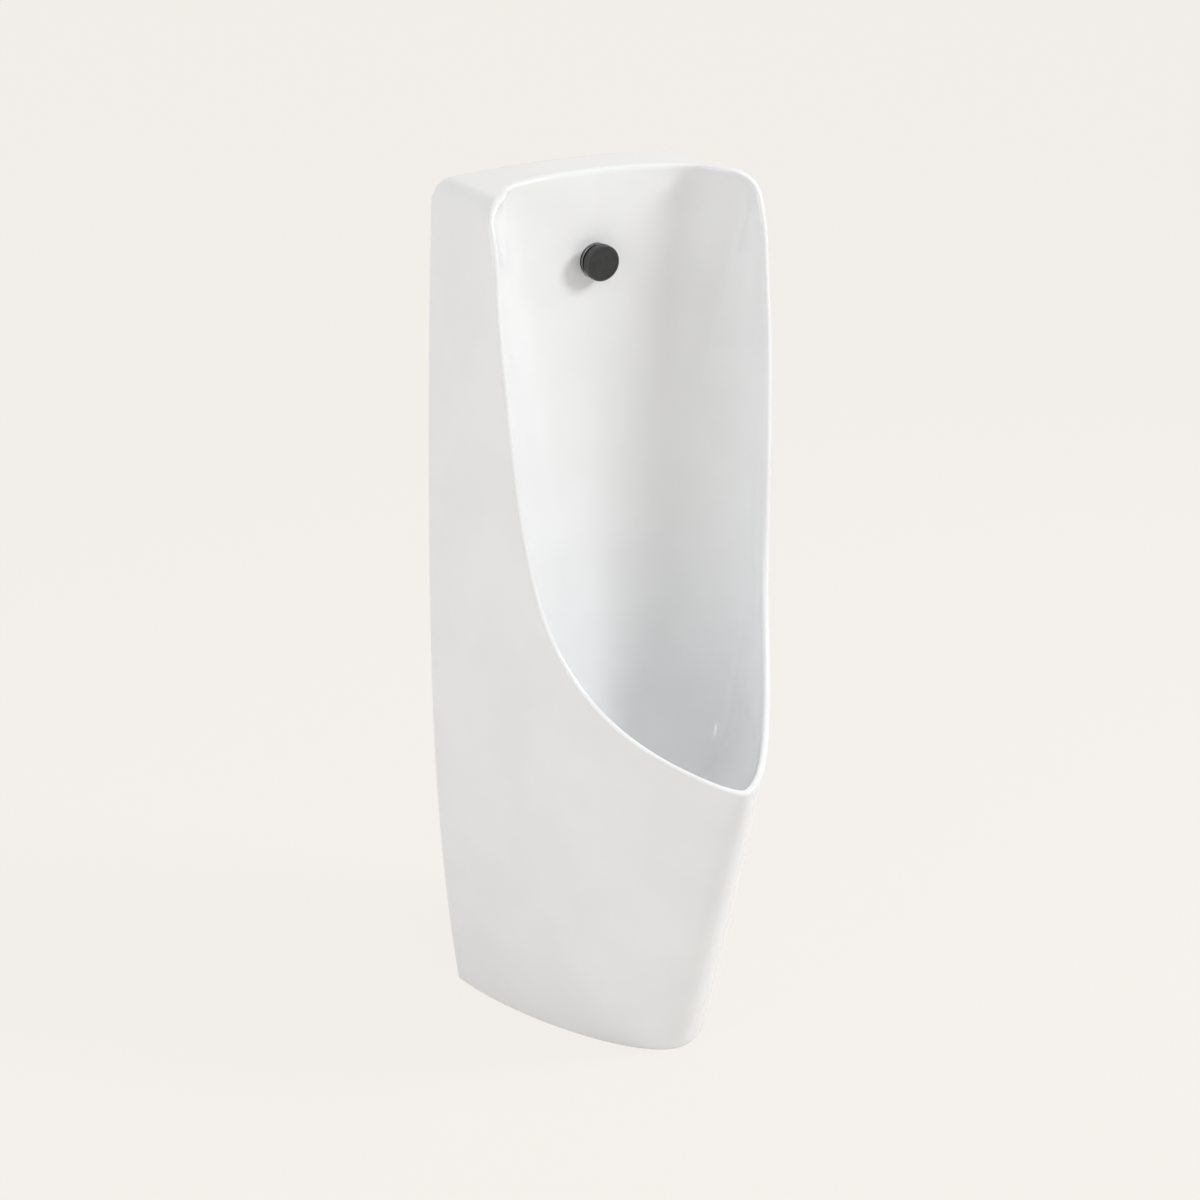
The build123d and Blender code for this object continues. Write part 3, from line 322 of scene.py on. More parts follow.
# Rim: stations from the nose, up the side, round the corner and along the top to the middle

STATIONS = 150
SKIN_ROWS = 46
ROLL_ROWS = 7
BOWL_ROWS = 66
TOP_EDGE = 3.5
FOOT_STATION_RISE = 500.0
SKIN_SPAN = 480.0
BOWL_SPAN = 380.0
DRAIN_RING = 41.0
DRAIN_STEPS = ((40.0, 0.5), (39.2, 1.6), (39.0, 3.0), (39.0, None), (32.0, None), (25.0, None))
RECESS_FLOOR = 292.0
TURN_START, TURN_RUN = 955, 80
WAY_LEAD, WAY_MIDDLE = 0.34, 0.3
BOWL_LEAD, BOWL_TAIL, BOWL_TAIL_RISE = 0.3, 0.35, 40
SIDE_LEAD_LIMIT = 0.35
DRAIN_HOLE_END = 277.0


def rim_rises():
    """The rim as distances from the wall and rises over the skin."""
    rows = []
    for d, z in RIM_SIDE:
        over = (z - SIDE_TOP) / TOP_CORNER
        rows.append((d, z if over < 0 else SIDE_TOP + TOP_CORNER * math.asin(over)))
    end_x = corner_of(TOP_HALF_WIDTH)[3]
    for d, x in RIM_TOP:
        rows.append((d, SIDE_TOP + ARC + TOP_RUN * (1 - x / end_x)))
    return np.array(rows)


def rim_stations():
    """Share, rise and place of each station on the outer edge of the rim, evenly spaced."""
    rows = rim_rises()
    knots = lengths(rows)
    curve = smooth_through(knots, rows)

    def station(place):
        d, rise = curve(place)
        line = body_line(min(rise, SIDE_TOP))
        share = float(np.interp(d, line.points[:, 1], line.lengths)) / line.length
        return share, rise, skin_point(share, rise)

    dense = knots[-1] * np.linspace(0, 1, 900) ** 2
    along = lengths(np.array([station(q)[2] for q in dense]))
    places = np.interp(np.linspace(0, along[-1], STATIONS + 1), along, dense)
    stations = [station(q) for q in places]
    stations[0] = (1.0, stations[0][1], skin_point(1.0, stations[0][1]))
    stations[-1] = (stations[-1][0], RISE_END, skin_point(stations[-1][0], RISE_END))
    return stations


def smooth_step(x):
    x = min(1.0, max(0.0, x))
    return x * x * (3 - 2 * x)


def inner_edge(stations, land):
    """The rim's edge on the bowl: a land's width in from the outer edge, and just under it along the top."""
    inner = []
    for i, (share, rise, outer) in enumerate(stations):
        line = body_line(min(rise, SIDE_TOP))
        before, after = line.at(max(share - 0.004, 0)), line.at(min(share + 0.004, 1))
        along = (after - before) / np.linalg.norm(after - before)
        normal = np.array([0.0, 1.0]) if share > 0.9999 else np.array([along[1], -along[0]])
        over = smooth_step((rise - TURN_START) / TURN_RUN)
        turn = over * math.pi / 2
        ahead, behind = stations[min(i + 1, STATIONS)][2], stations[max(i - 1, 0)][2]
        run = ahead[1] - behind[1]
        slope = (ahead[2] - behind[2]) / run if abs(run) > 1e-6 else 0.0
        reach = -normal[1] * land * math.cos(turn)
        lift = min(max(slope * reach, -1.0), 3.0) * math.cos(turn)
        inner.append(outer + np.array([
            -normal[0] * land * math.cos(turn),
            reach + TOP_EDGE * math.sin(turn),
            lift - math.sin(turn) * mix(land, TOP_EDGE, over),
        ]))
    inner[0][0] = inner[-1][0] = 0.0
    return inner


def nearest_share(line, point):
    """Share of the line's length nearest to a point in plan."""
    i = int(np.argmin(np.linalg.norm(line.points - point, axis=1)))
    i = min(max(i, 1), len(line.points) - 2)
    best = (1e9, 0.0)
    for j in (i - 1, i):
        a, b = line.points[j], line.points[j + 1]
        t = float(np.clip((point - a) @ (b - a) / ((b - a) @ (b - a)), 0, 1))
        gap = float(np.linalg.norm(a + (b - a) * t - point))
        best = min(best, (gap, mix(line.lengths[j], line.lengths[j + 1], t)))
    return best[1] / line.length


def path(start, lead, tail, end):
    """A cubic between two places in a surface's own run and rise."""
    return lambda k: cubic([start, lead, tail, end], k)[0]


def quarter_turn(rows, i):
    """Direction square to a row of places, towards the surface's inside."""
    along = rows[min(i + 1, len(rows) - 1)] - rows[max(i - 1, 0)]
    along = along / np.linalg.norm(along)
    return np.array([-along[1], along[0]])


def skin_paths(stations):
    """For each station the way over the skin from the floor's or the wall's edge to the rim."""
    rim = np.array([(share * SKIN_SPAN, rise) for share, rise, _ in stations])
    foot = int(np.argmin(np.abs(rim[:, 1] - FOOT_STATION_RISE)))
    paths = []
    for i, place in enumerate(rim):
        if i <= foot:
            start = np.array([(1 - i / foot) * SKIN_SPAN, 0.0])
        else:
            knots = (rim[foot, 1], TURN_START, SIDE_TOP + ARC, RISE_END)
            rises = (0, 930, SIDE_TOP + ARC - 4, RISE_END)
            start = np.array([0.0, np.interp(place[1], knots, rises)])
        inwards = quarter_turn(rim, i)
        if i == 0:
            inwards = np.array([0.0, -1.0])
        if i == STATIONS:
            inwards = np.array([-1.0, 0.0])
        reach = WAY_LEAD * np.linalg.norm(place - start)
        paths.append((path(start, mix(start, place, WAY_MIDDLE), place + inwards * reach, place), reach))
    return paths


def evened(rows, passes=160):
    """Rows evened out along the stations, so that neighbouring ways don't cross."""
    for _ in range(passes):
        rows[1:-1] = (rows[:-2] + 2 * rows[1:-1] + rows[2:]) / 4
    return rows


def bowl_paths(inner):
    """For each station the way from the rim down the bowl to the ring round the drain."""
    rim = []
    for i, point in enumerate(inner):
        share = 1.0 if i == 0 else 0.0 if i == STATIONS else nearest_share(bowl_line(point[2]), point[:2])
        rim.append((share * BOWL_SPAN, point[2]))
    rim = np.array(rim)
    low = bowl_line(BOWL_FLOOR + 6)
    turns = np.arctan2(low.points[:, 0], low.points[:, 1] - DRAIN)[::-1]
    shares = (low.lengths / low.length)[::-1]
    spans = np.hypot(low.points[:, 0], low.points[:, 1] - DRAIN)[::-1]
    ends, leads, turns_round = [], [], []
    for i, place in enumerate(rim):
        turn = math.pi * i / STATIONS
        share = float(np.interp(turn, turns, shares))
        size = DRAIN_RING / float(np.interp(turn, turns, spans))
        end = np.array([share * BOWL_SPAN, LIP_HEIGHT - BOWL_ROUND * math.acos(size)])
        inwards = quarter_turn(rim, i)
        if i in (0, STATIONS):
            inwards = np.array([0.0, -1.0])
        reach = BOWL_LEAD * np.linalg.norm(place - end)
        lead = inwards * reach
        leads.append((max(lead[0], -SIDE_LEAD_LIMIT * place[0]), lead[1], reach))
        ends.append(end)
        turns_round.append(turn)
    leads = evened(np.array(leads))
    paths = []
    for i, (place, end, turn) in enumerate(zip(rim, ends, turns_round)):
        lead, reach = leads[i, :2], leads[i, 2]
        way = path(place, place + lead, end + np.array([0.0, BOWL_TAIL * reach + BOWL_TAIL_RISE]), end)
        start_gap = inner[i] - bowl_point(place[0] / BOWL_SPAN, place[1])
        foot = bowl_point(*over_span(end))
        ring = np.array([DRAIN_RING * math.sin(turn), DRAIN + DRAIN_RING * math.cos(turn), foot[2]])
        end_gap = ring - foot
        paths.append((way, np.linalg.norm(lead), start_gap, end_gap, turn, ring[2]))
    return paths


def over_span(place):
    return place[0] / BOWL_SPAN, place[1]


def on_bowl(row, k):
    way, _, start_gap, end_gap, _, _ = row
    fade = (1 - k) ** 4
    return bowl_point(*over_span(way(k))) + start_gap * fade + end_gap * k ** 4


def body_points(land, roll):
    """Half of the body's skin, rim, bowl and drain, as rows of places for each station."""
    stations = rim_stations()
    inner = inner_edge(stations, land)
    columns = []
    for (skin, skin_reach), row, (_, _, outer), edge in zip(
        skin_paths(stations), bowl_paths(inner), stations, inner
    ):
        near = 1 - roll / (3 * skin_reach)
        column = []
        for k in np.linspace(0, near, SKIN_ROWS):
            run, rise = skin(k)
            column.append(skin_point(min(max(run / SKIN_SPAN, 0), 1), rise))
        middle = (outer + edge) / 2
        first = roll / (3 * row[1])
        below = on_bowl(row, first)
        for start, corner, end in ((column[-1], outer, middle), (middle, edge, below)):
            for t in np.linspace(0, 1, ROLL_ROWS)[1:]:
                column.append((1 - t) ** 2 * start + 2 * (1 - t) * t * corner + t ** 2 * end)
        for k in np.linspace(first, 1, BOWL_ROWS)[1:]:
            column.append(on_bowl(row, k))
        turn, ring_height = row[4], row[5]
        for radius, drop in DRAIN_STEPS:
            z = RECESS_FLOOR if drop is None else ring_height - drop
            column.append(np.array([radius * math.sin(turn), DRAIN + radius * math.cos(turn), z]))
        radius = DRAIN_STEPS[-1][0]
        column.append(np.array([radius * math.sin(turn), DRAIN + radius * math.cos(turn), DRAIN_HOLE_END]))
        columns.append(column)
    points = np.array(columns)
    points[0, :, 0] = points[-1, :, 0] = 0.0
    return points


# Meshes

def in_frame(point):
    x, from_wall, z = point
    return Vector((x, WALL_Y - from_wall, z)) * MM


def lay_grid(points):
    """A bmesh grid laid over rows of places, mirrored about the middle plane."""
    across, along = points.shape[0] - 1, points.shape[1] - 1
    bm = bmesh.new()
    bmesh.ops.create_grid(bm, x_segments=across, y_segments=along, size=1)
    for vert in bm.verts:
        i = round((vert.co.x + 1) / 2 * across)
        j = round((vert.co.y + 1) / 2 * along)
        vert.co = in_frame(points[i, j])
    everything = bm.verts[:] + bm.edges[:] + bm.faces[:]
    bmesh.ops.mirror(bm, geom=everything, matrix=Matrix.Identity(4), merge_dist=1e-6, axis="X")
    return bm


def close_loops(bm, *tests):
    """Fills each open loop whose edges all pass a test."""
    filled = []
    for test in tests:
        edges = [e for e in bm.edges if e.is_boundary and all(test(v.co) for v in e.verts)]
        filled += bmesh.ops.contextual_create(bm, geom=edges)["faces"]
    return filled


def make_object(bm, name, materials=()):
    bmesh.ops.recalc_face_normals(bm, faces=bm.faces[:])
    mesh = bpy.data.meshes.new(name)
    bm.to_mesh(mesh)
    bm.free()
    for material in materials:
        mesh.materials.append(material)
    piece = bpy.data.objects.new(name, mesh)
    bpy.context.scene.collection.objects.link(piece)
    return piece


def cut_away(piece, cutters):
    """Takes the cutters' volumes out of a piece and leaves a plain mesh."""
    for cutter in cutters:
        modifier = piece.modifiers.new("cut", "BOOLEAN")
        modifier.operation, modifier.solver, modifier.object = "DIFFERENCE", "EXACT", cutter
        modifier.material_mode = "TRANSFER"
    finished = bpy.data.meshes.new_from_object(piece.evaluated_get(bpy.context.evaluated_depsgraph_get()))
    piece.modifiers.clear()
    piece.data = finished
    for cutter in cutters:
        bpy.data.objects.remove(cutter)
    return piece


# Materials

def linear(hex_colour):
    """An sRGB hex colour as linear RGBA."""
    channels = [int(hex_colour[i:i + 2], 16) / 255 for i in (1, 3, 5)]
    return [c / 12.92 if c <= 0.04045 else ((c + 0.055) / 1.055) ** 2.4 for c in channels] + [1.0]


def per(millimetres):
    """Pattern scale that gives features of a real size."""
    return 1000.0 / millimetres


def add_node(tree, kind, inputs=None, **settings):
    """A node with its settings, and its inputs set or linked."""
    node = tree.nodes.new(kind)
    for name, value in settings.items():
        setattr(node, name, value)
    for name, value in (inputs or {}).items():
        if isinstance(value, bpy.types.NodeSocket):
            tree.links.new(value, node.inputs[name])
        else:
            node.inputs[name].default_value = value
    return node


def new_material(name, **sockets):
    """A material with a Principled surface whose fixed sockets are set."""
    material = bpy.data.materials.new(name)
    material.use_nodes = True
    tree = material.node_tree
    tree.nodes.clear()
    shader = add_node(tree, "ShaderNodeBsdfPrincipled", {k.replace("_", " "): v for k, v in sockets.items()})
    add_node(tree, "ShaderNodeOutputMaterial", {"Surface": shader.outputs["BSDF"]})
    place = add_node(tree, "ShaderNodeTexCoord").outputs["Object"]
    return material, tree, shader, place


def noise(tree, place, size_mm, detail=2.0):
    texture = add_node(tree, "ShaderNodeTexNoise", {"Vector": place, "Scale": per(size_mm), "Detail": detail})
    return texture.outputs["Fac"]


def shades(tree, shader, factor, low, high, span=(0.35, 0.65)):
    """Base colour that wanders between two shades."""
    ramp = add_node(tree, "ShaderNodeValToRGB", {"Fac": factor})
    for element, position, colour in zip(ramp.color_ramp.elements, span, (low, high)):
        element.position, element.color = position, linear(colour)
    tree.links.new(ramp.outputs["Color"], shader.inputs["Base Color"])


def gloss(tree, shader, factor, low, high):
    """Roughness that wanders between two values."""
    spread = add_node(tree, "ShaderNodeMapRange", {"Value": factor, "To Min": low, "To Max": high})
    tree.links.new(spread.outputs["Result"], shader.inputs["Roughness"])


def relief(tree, shader, height, depth_mm, strength=1.0):
    """Bump of a real depth."""
    bump = add_node(tree, "ShaderNodeBump", {
        "Height": height, "Distance": depth_mm * MM, "Strength": strength})
    tree.links.new(bump.outputs["Normal"], shader.inputs["Normal"])


def stretched(tree, place, scale):
    """Coordinates squeezed along one axis, for a grain that runs."""
    return add_node(tree, "ShaderNodeMapping", {"Vector": place, "Scale": scale}).outputs["Vector"]


def vitreous_china(finish):
    """Fired opaque glaze over white clay: a hard clear gloss whose surface pulls into a faint orange peel."""
    material, tree, shader, place = new_material(
        "vitreous_china", IOR=1.52, Coat_Weight=0.3, Coat_Roughness=0.04)
    shades(tree, shader, noise(tree, place, 90), finish.glaze_deep, finish.glaze)
    gloss(tree, shader, noise(tree, place, 35), finish.glaze_roughness * 0.8, finish.glaze_roughness * 1.3)
    relief(tree, shader, noise(tree, place, 14, 1.0), 0.012)
    return material


def biscuit_china():
    """Unglazed fired clay at the back and inside: dry and slightly warm, with a sandy tooth."""
    material, tree, shader, place = new_material("biscuit_china", IOR=1.5)
    shades(tree, shader, noise(tree, place, 40, 4.0), "#D8D2C6", "#E4DFD4")
    gloss(tree, shader, noise(tree, place, 8), 0.7, 0.9)
    relief(tree, shader, noise(tree, place, 1.2, 3.0), 0.06)
    return material


def moulded_abs(name, dark, light, grain_mm, roughness):
    """Injection moulded ABS with a spark-eroded grain: even colour and a soft broken highlight."""
    material, tree, shader, place = new_material(name, IOR=1.54)
    shades(tree, shader, noise(tree, place, 12), dark, light)
    gloss(tree, shader, noise(tree, place, 4), roughness - 0.05, roughness + 0.07)
    relief(tree, shader, noise(tree, place, grain_mm, 3.0), 0.02)
    return material


def smoked_acrylic():
    """Polished acrylic that passes infrared: near black, with a clean reflection and faint wiping marks."""
    material, tree, shader, place = new_material("ir_window", IOR=1.49)
    shades(tree, shader, noise(tree, place, 15), "#202222", "#282B2B")
    gloss(tree, shader, noise(tree, stretched(tree, place, (1, 1, 6)), 3, 4.0), 0.22, 0.36)
    return material


def chrome_plate():
    """Decorative chrome over nickel: a bright cold mirror that is slightly dulled by water spots."""
    material, tree, shader, place = new_material("chrome_plate", Metallic=1.0)
    shades(tree, shader, noise(tree, place, 20), "#D6D8DA", "#E4E6E8")
    gloss(tree, shader, noise(tree, place, 5, 3.0), 0.05, 0.14)
    return material


def brushed_stainless():
    """Stainless steel sheet and wire with a brushed grain, drawn coarse enough to show."""
    material, tree, shader, place = new_material("stainless_steel", Metallic=1.0, Anisotropic=0.4)
    grain = noise(tree, stretched(tree, place, (1, 12, 12)), 6, 3.0)
    shades(tree, shader, grain, "#B4B2AE", "#CBC9C5")
    gloss(tree, shader, grain, 0.24, 0.38)
    relief(tree, shader, grain, 0.01)
    return material


def turned_brass():
    """Forged and turned brass: warm yellow, with tool rings and a light tarnish in patches."""
    material, tree, shader, place = new_material("brass", Metallic=1.0)
    shades(tree, shader, noise(tree, place, 9, 4.0), "#A98243", "#CFAA63")
    gloss(tree, shader, noise(tree, place, 6, 3.0), 0.24, 0.42)
    relief(tree, shader, noise(tree, stretched(tree, place, (8, 1, 1)), 4), 0.01)
    return material


def ground_steel(name, dark, light):
    """Ground steel that turns or slides in a valve: smooth, with a tight directional sheen."""
    material, tree, shader, place = new_material(name, Metallic=1.0)
    grain = noise(tree, stretched(tree, place, (1, 8, 8)), 2.5)
    shades(tree, shader, grain, dark, light)
    gloss(tree, shader, grain, 0.12, 0.24)
    return material


def epdm_rubber():
    """Moulded EPDM rubber: matt black with a dusty bloom."""
    material, tree, shader, place = new_material("rubber", IOR=1.5)
    shades(tree, shader, noise(tree, place, 7, 4.0), "#1B1B1B", "#2C2B2A")
    gloss(tree, shader, noise(tree, place, 3), 0.62, 0.8)
    relief(tree, shader, noise(tree, place, 0.8), 0.02)
    return material


def zinc_plate():
    """Zinc plated steel sheet: cool grey, with the faint mottling of the bath."""
    material, tree, shader, place = new_material("zinc_steel", Metallic=1.0)
    spangle = add_node(tree, "ShaderNodeTexVoronoi", {"Vector": place, "Scale": per(14)}).outputs["Distance"]
    shades(tree, shader, spangle, "#B2B6BA", "#BABEC2", (0.1, 0.7))
    gloss(tree, shader, noise(tree, place, 10, 3.0), 0.3, 0.46)
    return material


def solder_mask():
    """Green lacquered glass-fibre board, glossy, with paler copper runs under the lacquer."""
    material, tree, shader, place = new_material("board", IOR=1.55)
    runs = add_node(tree, "ShaderNodeTexBrick", {
        "Vector": place, "Scale": per(6), "Mortar Size": 0.06,
        "Color1": linear("#1F5A34"), "Color2": linear("#246339"), "Mortar": linear("#4D8A4E"),
    })
    tree.links.new(runs.outputs["Color"], shader.inputs["Base Color"])
    gloss(tree, shader, noise(tree, place, 5), 0.2, 0.32)
    return material


def shrink_jacket():
    """Printed shrink film on the cells, bare of any print: a blue gloss with small wrinkles."""
    material, tree, shader, place = new_material("cell_jacket", IOR=1.5)
    shades(tree, shader, noise(tree, place, 10), "#27507E", "#2F5E92")
    gloss(tree, shader, noise(tree, place, 4), 0.18, 0.3)
    relief(tree, shader, noise(tree, stretched(tree, place, (1, 6, 1)), 5), 0.04)
    return material


def moulded_polypropylene(name, dark, light):
    """Moulded polypropylene waste fittings: milky white, waxy and slightly uneven in gloss."""
    material, tree, shader, place = new_material(
        name, IOR=1.49, Subsurface_Weight=0.08, Subsurface_Scale=0.004)
    shades(tree, shader, noise(tree, place, 30), dark, light)
    gloss(tree, shader, noise(tree, place, 8, 3.0), 0.34, 0.5)
    relief(tree, shader, noise(tree, place, 1.5), 0.015)
    return material


def node_materials():
    """The finish of each of the record's material slots."""
    return {
        "sensor_plastic": moulded_abs("sensor_plastic", "#2C2E2E", "#343636", 0.7, 0.42),
        "ir_window": smoked_acrylic(),
        "chrome_plate": chrome_plate(),
        "stainless_steel": brushed_stainless(),
        "brass": turned_brass(),
        "chromed_ball": ground_steel("chromed_ball", "#C9CBCD", "#DDDFE0"),
        "magnetic_steel": ground_steel("magnetic_steel", "#9A9B9C", "#B4B5B6"),
        "rubber": epdm_rubber(),
        "seat_plastic": moulded_polypropylene("seat_plastic", "#E2E1DA", "#EFEEE8"),
        "coil_plastic": moulded_abs("coil_plastic", "#1D1E20", "#26282A", 1.0, 0.5),
        "zinc_steel": zinc_plate(),
        "box_plastic": moulded_abs("box_plastic", "#3A3C3E", "#46484A", 0.9, 0.46),
        "board": solder_mask(),
        "cell_jacket": shrink_jacket(),
        "waste_plastic": moulded_polypropylene("waste_plastic", "#E3E2DC", "#F0EFEA"),
    }


# Properties that a user would change

class UrinalForm(bpy.types.PropertyGroup):
    rim_land: bpy.props.FloatProperty(
        name="Rim land", description="Width of the rim between its outer and inner edges",
        default=8 * MM, min=4 * MM, max=10 * MM, unit="LENGTH")
    rim_roll: bpy.props.FloatProperty(
        name="Rim roll", description="How far from its edges the rim starts to round over",
        default=4.5 * MM, min=2 * MM, max=8 * MM, unit="LENGTH")
    foot_round: bpy.props.FloatProperty(
        name="Foot rounding", description="Rounding of the edges on the floor and on the wall",
        default=1.6 * MM, min=0.5 * MM, max=4 * MM, unit="LENGTH")


class UrinalFinish(bpy.types.PropertyGroup):
    glaze: bpy.props.StringProperty(
        name="Glaze", description="Colour of the glaze as an sRGB hex value", default="#ECEDEE")
    glaze_deep: bpy.props.StringProperty(
        name="Deep glaze", description="Colour where the glaze lies thicker", default="#E9EAEB")
    glaze_roughness: bpy.props.FloatProperty(
        name="Glaze roughness", description="Roughness of the fired glaze",
        default=0.1, min=0.02, max=0.5, subtype="FACTOR")


class UrinalStudio(bpy.types.PropertyGroup):
    floor: bpy.props.StringProperty(
        name="Floor", description="Colour of the pale floor and of the background", default="#F2EEE9")
    key_power: bpy.props.FloatProperty(
        name="Key light", description="Power of the soft light high on the right",
        default=40.0, min=0.0, unit="POWER")
    side_power: bpy.props.FloatProperty(
        name="Side light", description="Power of the broad light on the left",
        default=15.5, min=0.0, unit="POWER")
    fill_strength: bpy.props.FloatProperty(
        name="Fill light", description="Strength of the light from all round, brighter from above",
        default=0.3, min=0.0, max=2.0)


# Body

FLANGE_WIDTH = 34.0
FLANGE_BOTTOM = 40.0
FLANGE_TOP = 950.0
BACK_FLANGE = 12.0
SHELL_WALL = 10.0
BOWL_WALL = 10.0
FOOT_THICKNESS = 14.0
FOOT_WIDTH = 34.0
CAVITY_TOP = 972.0
OPENING_CORNER = 30.0
BOSS_BOTTOM = 278.0
BOSS_RADIUS = 38.0
SPREADER_HEIGHT = 898.0
SPREADER_HOLE = 12.5
SPREADER_SEAT = 61.5
SPREADER_RECESS = 20.0
PIPE_FROM_WALL = 24.0
GROWN_LEVELS = (BOWL_TOP, 990, 970, 955, 900, 840, 780, 720, 660, 600, 550, 500, 460, 425)
GROWN_ANGLES = (0, 8, 16, 24, 32, 40, 48, 56, 64, 71, 77, 82)
GROWN_SHARES = np.linspace(0, 1, 41)
SHARP_ANGLE = 32
BODY_SLOT = "vitreous_china"


def wall_grid(levels, inset, columns=30):
    """A closed form with the body's outline, drawn in by an inset and flat at the back."""
    points = []
    for z in levels:
        line = Halfline(body_outline(z, inset))
        back = float(np.interp(BACK_FLANGE, line.points[:, 1], line.lengths)) / line.length
        row = [(*line.at(share), z) for share in np.linspace(1, back, columns)]
        corner = row[-1][0]
        row += [(corner * share, BACK_FLANGE, z) for share in (0.75, 0.5, 0.25, 0.0)]
        points.append(row)
    points = np.array(points)
    points[:, 0, 0] = 0.0
    bm = lay_grid(points)
    low, high = levels[0] * MM, levels[-1] * MM
    close_loops(bm, lambda co: abs(co.z - low) < 1e-6, lambda co: abs(co.z - high) < 1e-6)
    return bm


def grown_bowl(wall):
    """The bowl's form grown by its wall, which the cavity behind it goes round."""
    rows = []
    deep = BOWL_DEPTH + wall
    for z in GROWN_LEVELS:
        line = Halfline(*bowl_outline(z, wall))
        rows.append([(*line.at(share), z) for share in GROWN_SHARES])
    for angle in np.radians(GROWN_ANGLES):
        z = LIP_HEIGHT - deep * math.sin(angle)
        size = math.cos(angle)
        line = Halfline(*bowl_outline(z, wall))
        rows.append([(x * size, mix(DRAIN, d, size), z) for x, d in map(line.at, GROWN_SHARES)])
    points = np.array(rows)
    points[:, 0, 0] = points[:, -1, 0] = 0.0
    bm = lay_grid(points)
    top, floor = BOWL_TOP * MM, points[-1, :, 2].max() * MM + 1e-6
    close_loops(bm, lambda co: abs(co.z - top) < 1e-6, lambda co: co.z < floor)
    return bm


def cylinder(bm, radius, low, high, axis="Z"):
    """A cylinder between two heights about the drain, or two distances from the wall about the spreader."""
    length = high - low
    if axis == "Z":
        place = Matrix.Translation(in_frame((0, DRAIN, low + length / 2)))
    else:
        middle = in_frame((0, low + length / 2, SPREADER_HEIGHT))
        place = Matrix.Translation(middle) @ Matrix.Rotation(math.pi / 2, 4, "X")
    radius = radius * MM
    bmesh.ops.create_cone(
        bm, cap_ends=True, segments=64, radius1=radius, radius2=radius, depth=length * MM, matrix=place)


def back_opening():
    """The opening in the back flange, with rounded corners."""
    bm = bmesh.new()
    bmesh.ops.create_grid(bm, x_segments=1, y_segments=1, size=1)
    half = TOP_HALF_WIDTH - FLANGE_WIDTH
    for vert in bm.verts:
        z = FLANGE_BOTTOM if vert.co.y < 0 else FLANGE_TOP
        vert.co = in_frame((math.copysign(half, vert.co.x), BACK_FLANGE + 1, z))
    bmesh.ops.bevel(
        bm, geom=bm.verts[:], offset=OPENING_CORNER * MM, segments=8, profile=0.5,
        affect="VERTICES", material=-1)
    moved = bmesh.ops.extrude_face_region(bm, geom=bm.faces[:])["geom"]
    verts = [v for v in moved if isinstance(v, bmesh.types.BMVert)]
    bmesh.ops.translate(bm, verts=verts, vec=(0, (BACK_FLANGE + 2) * MM, 0))
    return bm


def solid_body(form):
    """The body before its hollow is taken out, closed on the floor and on the wall."""
    bm = lay_grid(body_points(form.rim_land / MM, form.rim_roll / MM))
    wall, hole = WALL_Y * MM, DRAIN_HOLE_END * MM
    corners = [v for v in bm.verts if v.co.z < 1e-6 and v.co.y > wall - 1e-6]
    bmesh.ops.contextual_create(bm, geom=corners)
    filled = close_loops(
        bm,
        lambda co: abs(co.z) < 1e-6,
        lambda co: abs(co.y - wall) < 1e-6,
        lambda co: abs(co.z - hole) < 1e-6,
    )
    bmesh.ops.recalc_face_normals(bm, faces=bm.faces[:])
    edges = {e for f in filled[:2] for e in f.edges}
    bmesh.ops.bevel(
        bm, geom=list(edges), offset=form.foot_round, segments=3, profile=0.5, affect="EDGES", material=-1)
    return bm


def smooth_edges(piece, degrees):
    """Smooth shading that keeps the edges sharper than an angle."""
    bm = bmesh.new()
    bm.from_mesh(piece.data)
    limit = math.radians(degrees)
    for face in bm.faces:
        face.smooth = True
    for edge in bm.edges:
        edge.smooth = len(edge.link_faces) == 2 and edge.calc_face_angle(0.0) < limit
    bm.to_mesh(piece.data)
    bm.free()


class URINAL_OT_body(bpy.types.Operator):
    """Glazed china body with its rolled rim, bowl, drain seat and hollow back"""
    bl_idname = "urinal.body"
    bl_label = "Body"

    def execute(self, context):
        scene = context.scene
        glazed, biscuit = vitreous_china(scene.urinal_finish), biscuit_china()
        body = make_object(solid_body(scene.urinal_form), "china_body", [glazed])
        levels = [FOOT_THICKNESS] + list(range(40, 960, 40)) + [CAVITY_TOP]
        cavity = make_object(wall_grid(levels, SHELL_WALL), "cavity_form", [biscuit])
        boss = bmesh.new()
        cylinder(boss, BOSS_RADIUS, BOSS_BOTTOM, LIP_HEIGHT)
        cut_away(cavity, [
            make_object(grown_bowl(BOWL_WALL), "bowl_form", [biscuit]),
            make_object(boss, "boss_form", [biscuit]),
        ])
        hole, recess = bmesh.new(), bmesh.new()
        cylinder(hole, SPREADER_HOLE, PIPE_FROM_WALL, SPREADER_SEAT + 6, axis="Y")
        cylinder(recess, SPREADER_RECESS, SPREADER_SEAT, SPREADER_SEAT + 12, axis="Y")
        cut_away(body, [
            cavity,
            make_object(back_opening(), "back_form", [biscuit]),
            make_object(wall_grid([-1, FOOT_THICKNESS + 1], FOOT_WIDTH), "foot_form", [biscuit]),
            make_object(hole, "hole_form", [glazed]),
            make_object(recess, "recess_form", [glazed]),
        ])
        if not any(face.material_index for face in body.data.polygons):
            raise RuntimeError("the hollow was not cut out of the body")
        smooth_edges(body, SHARP_ANGLE)
        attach(body, "body")
        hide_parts("ceramic_body")
        return {"FINISHED"}


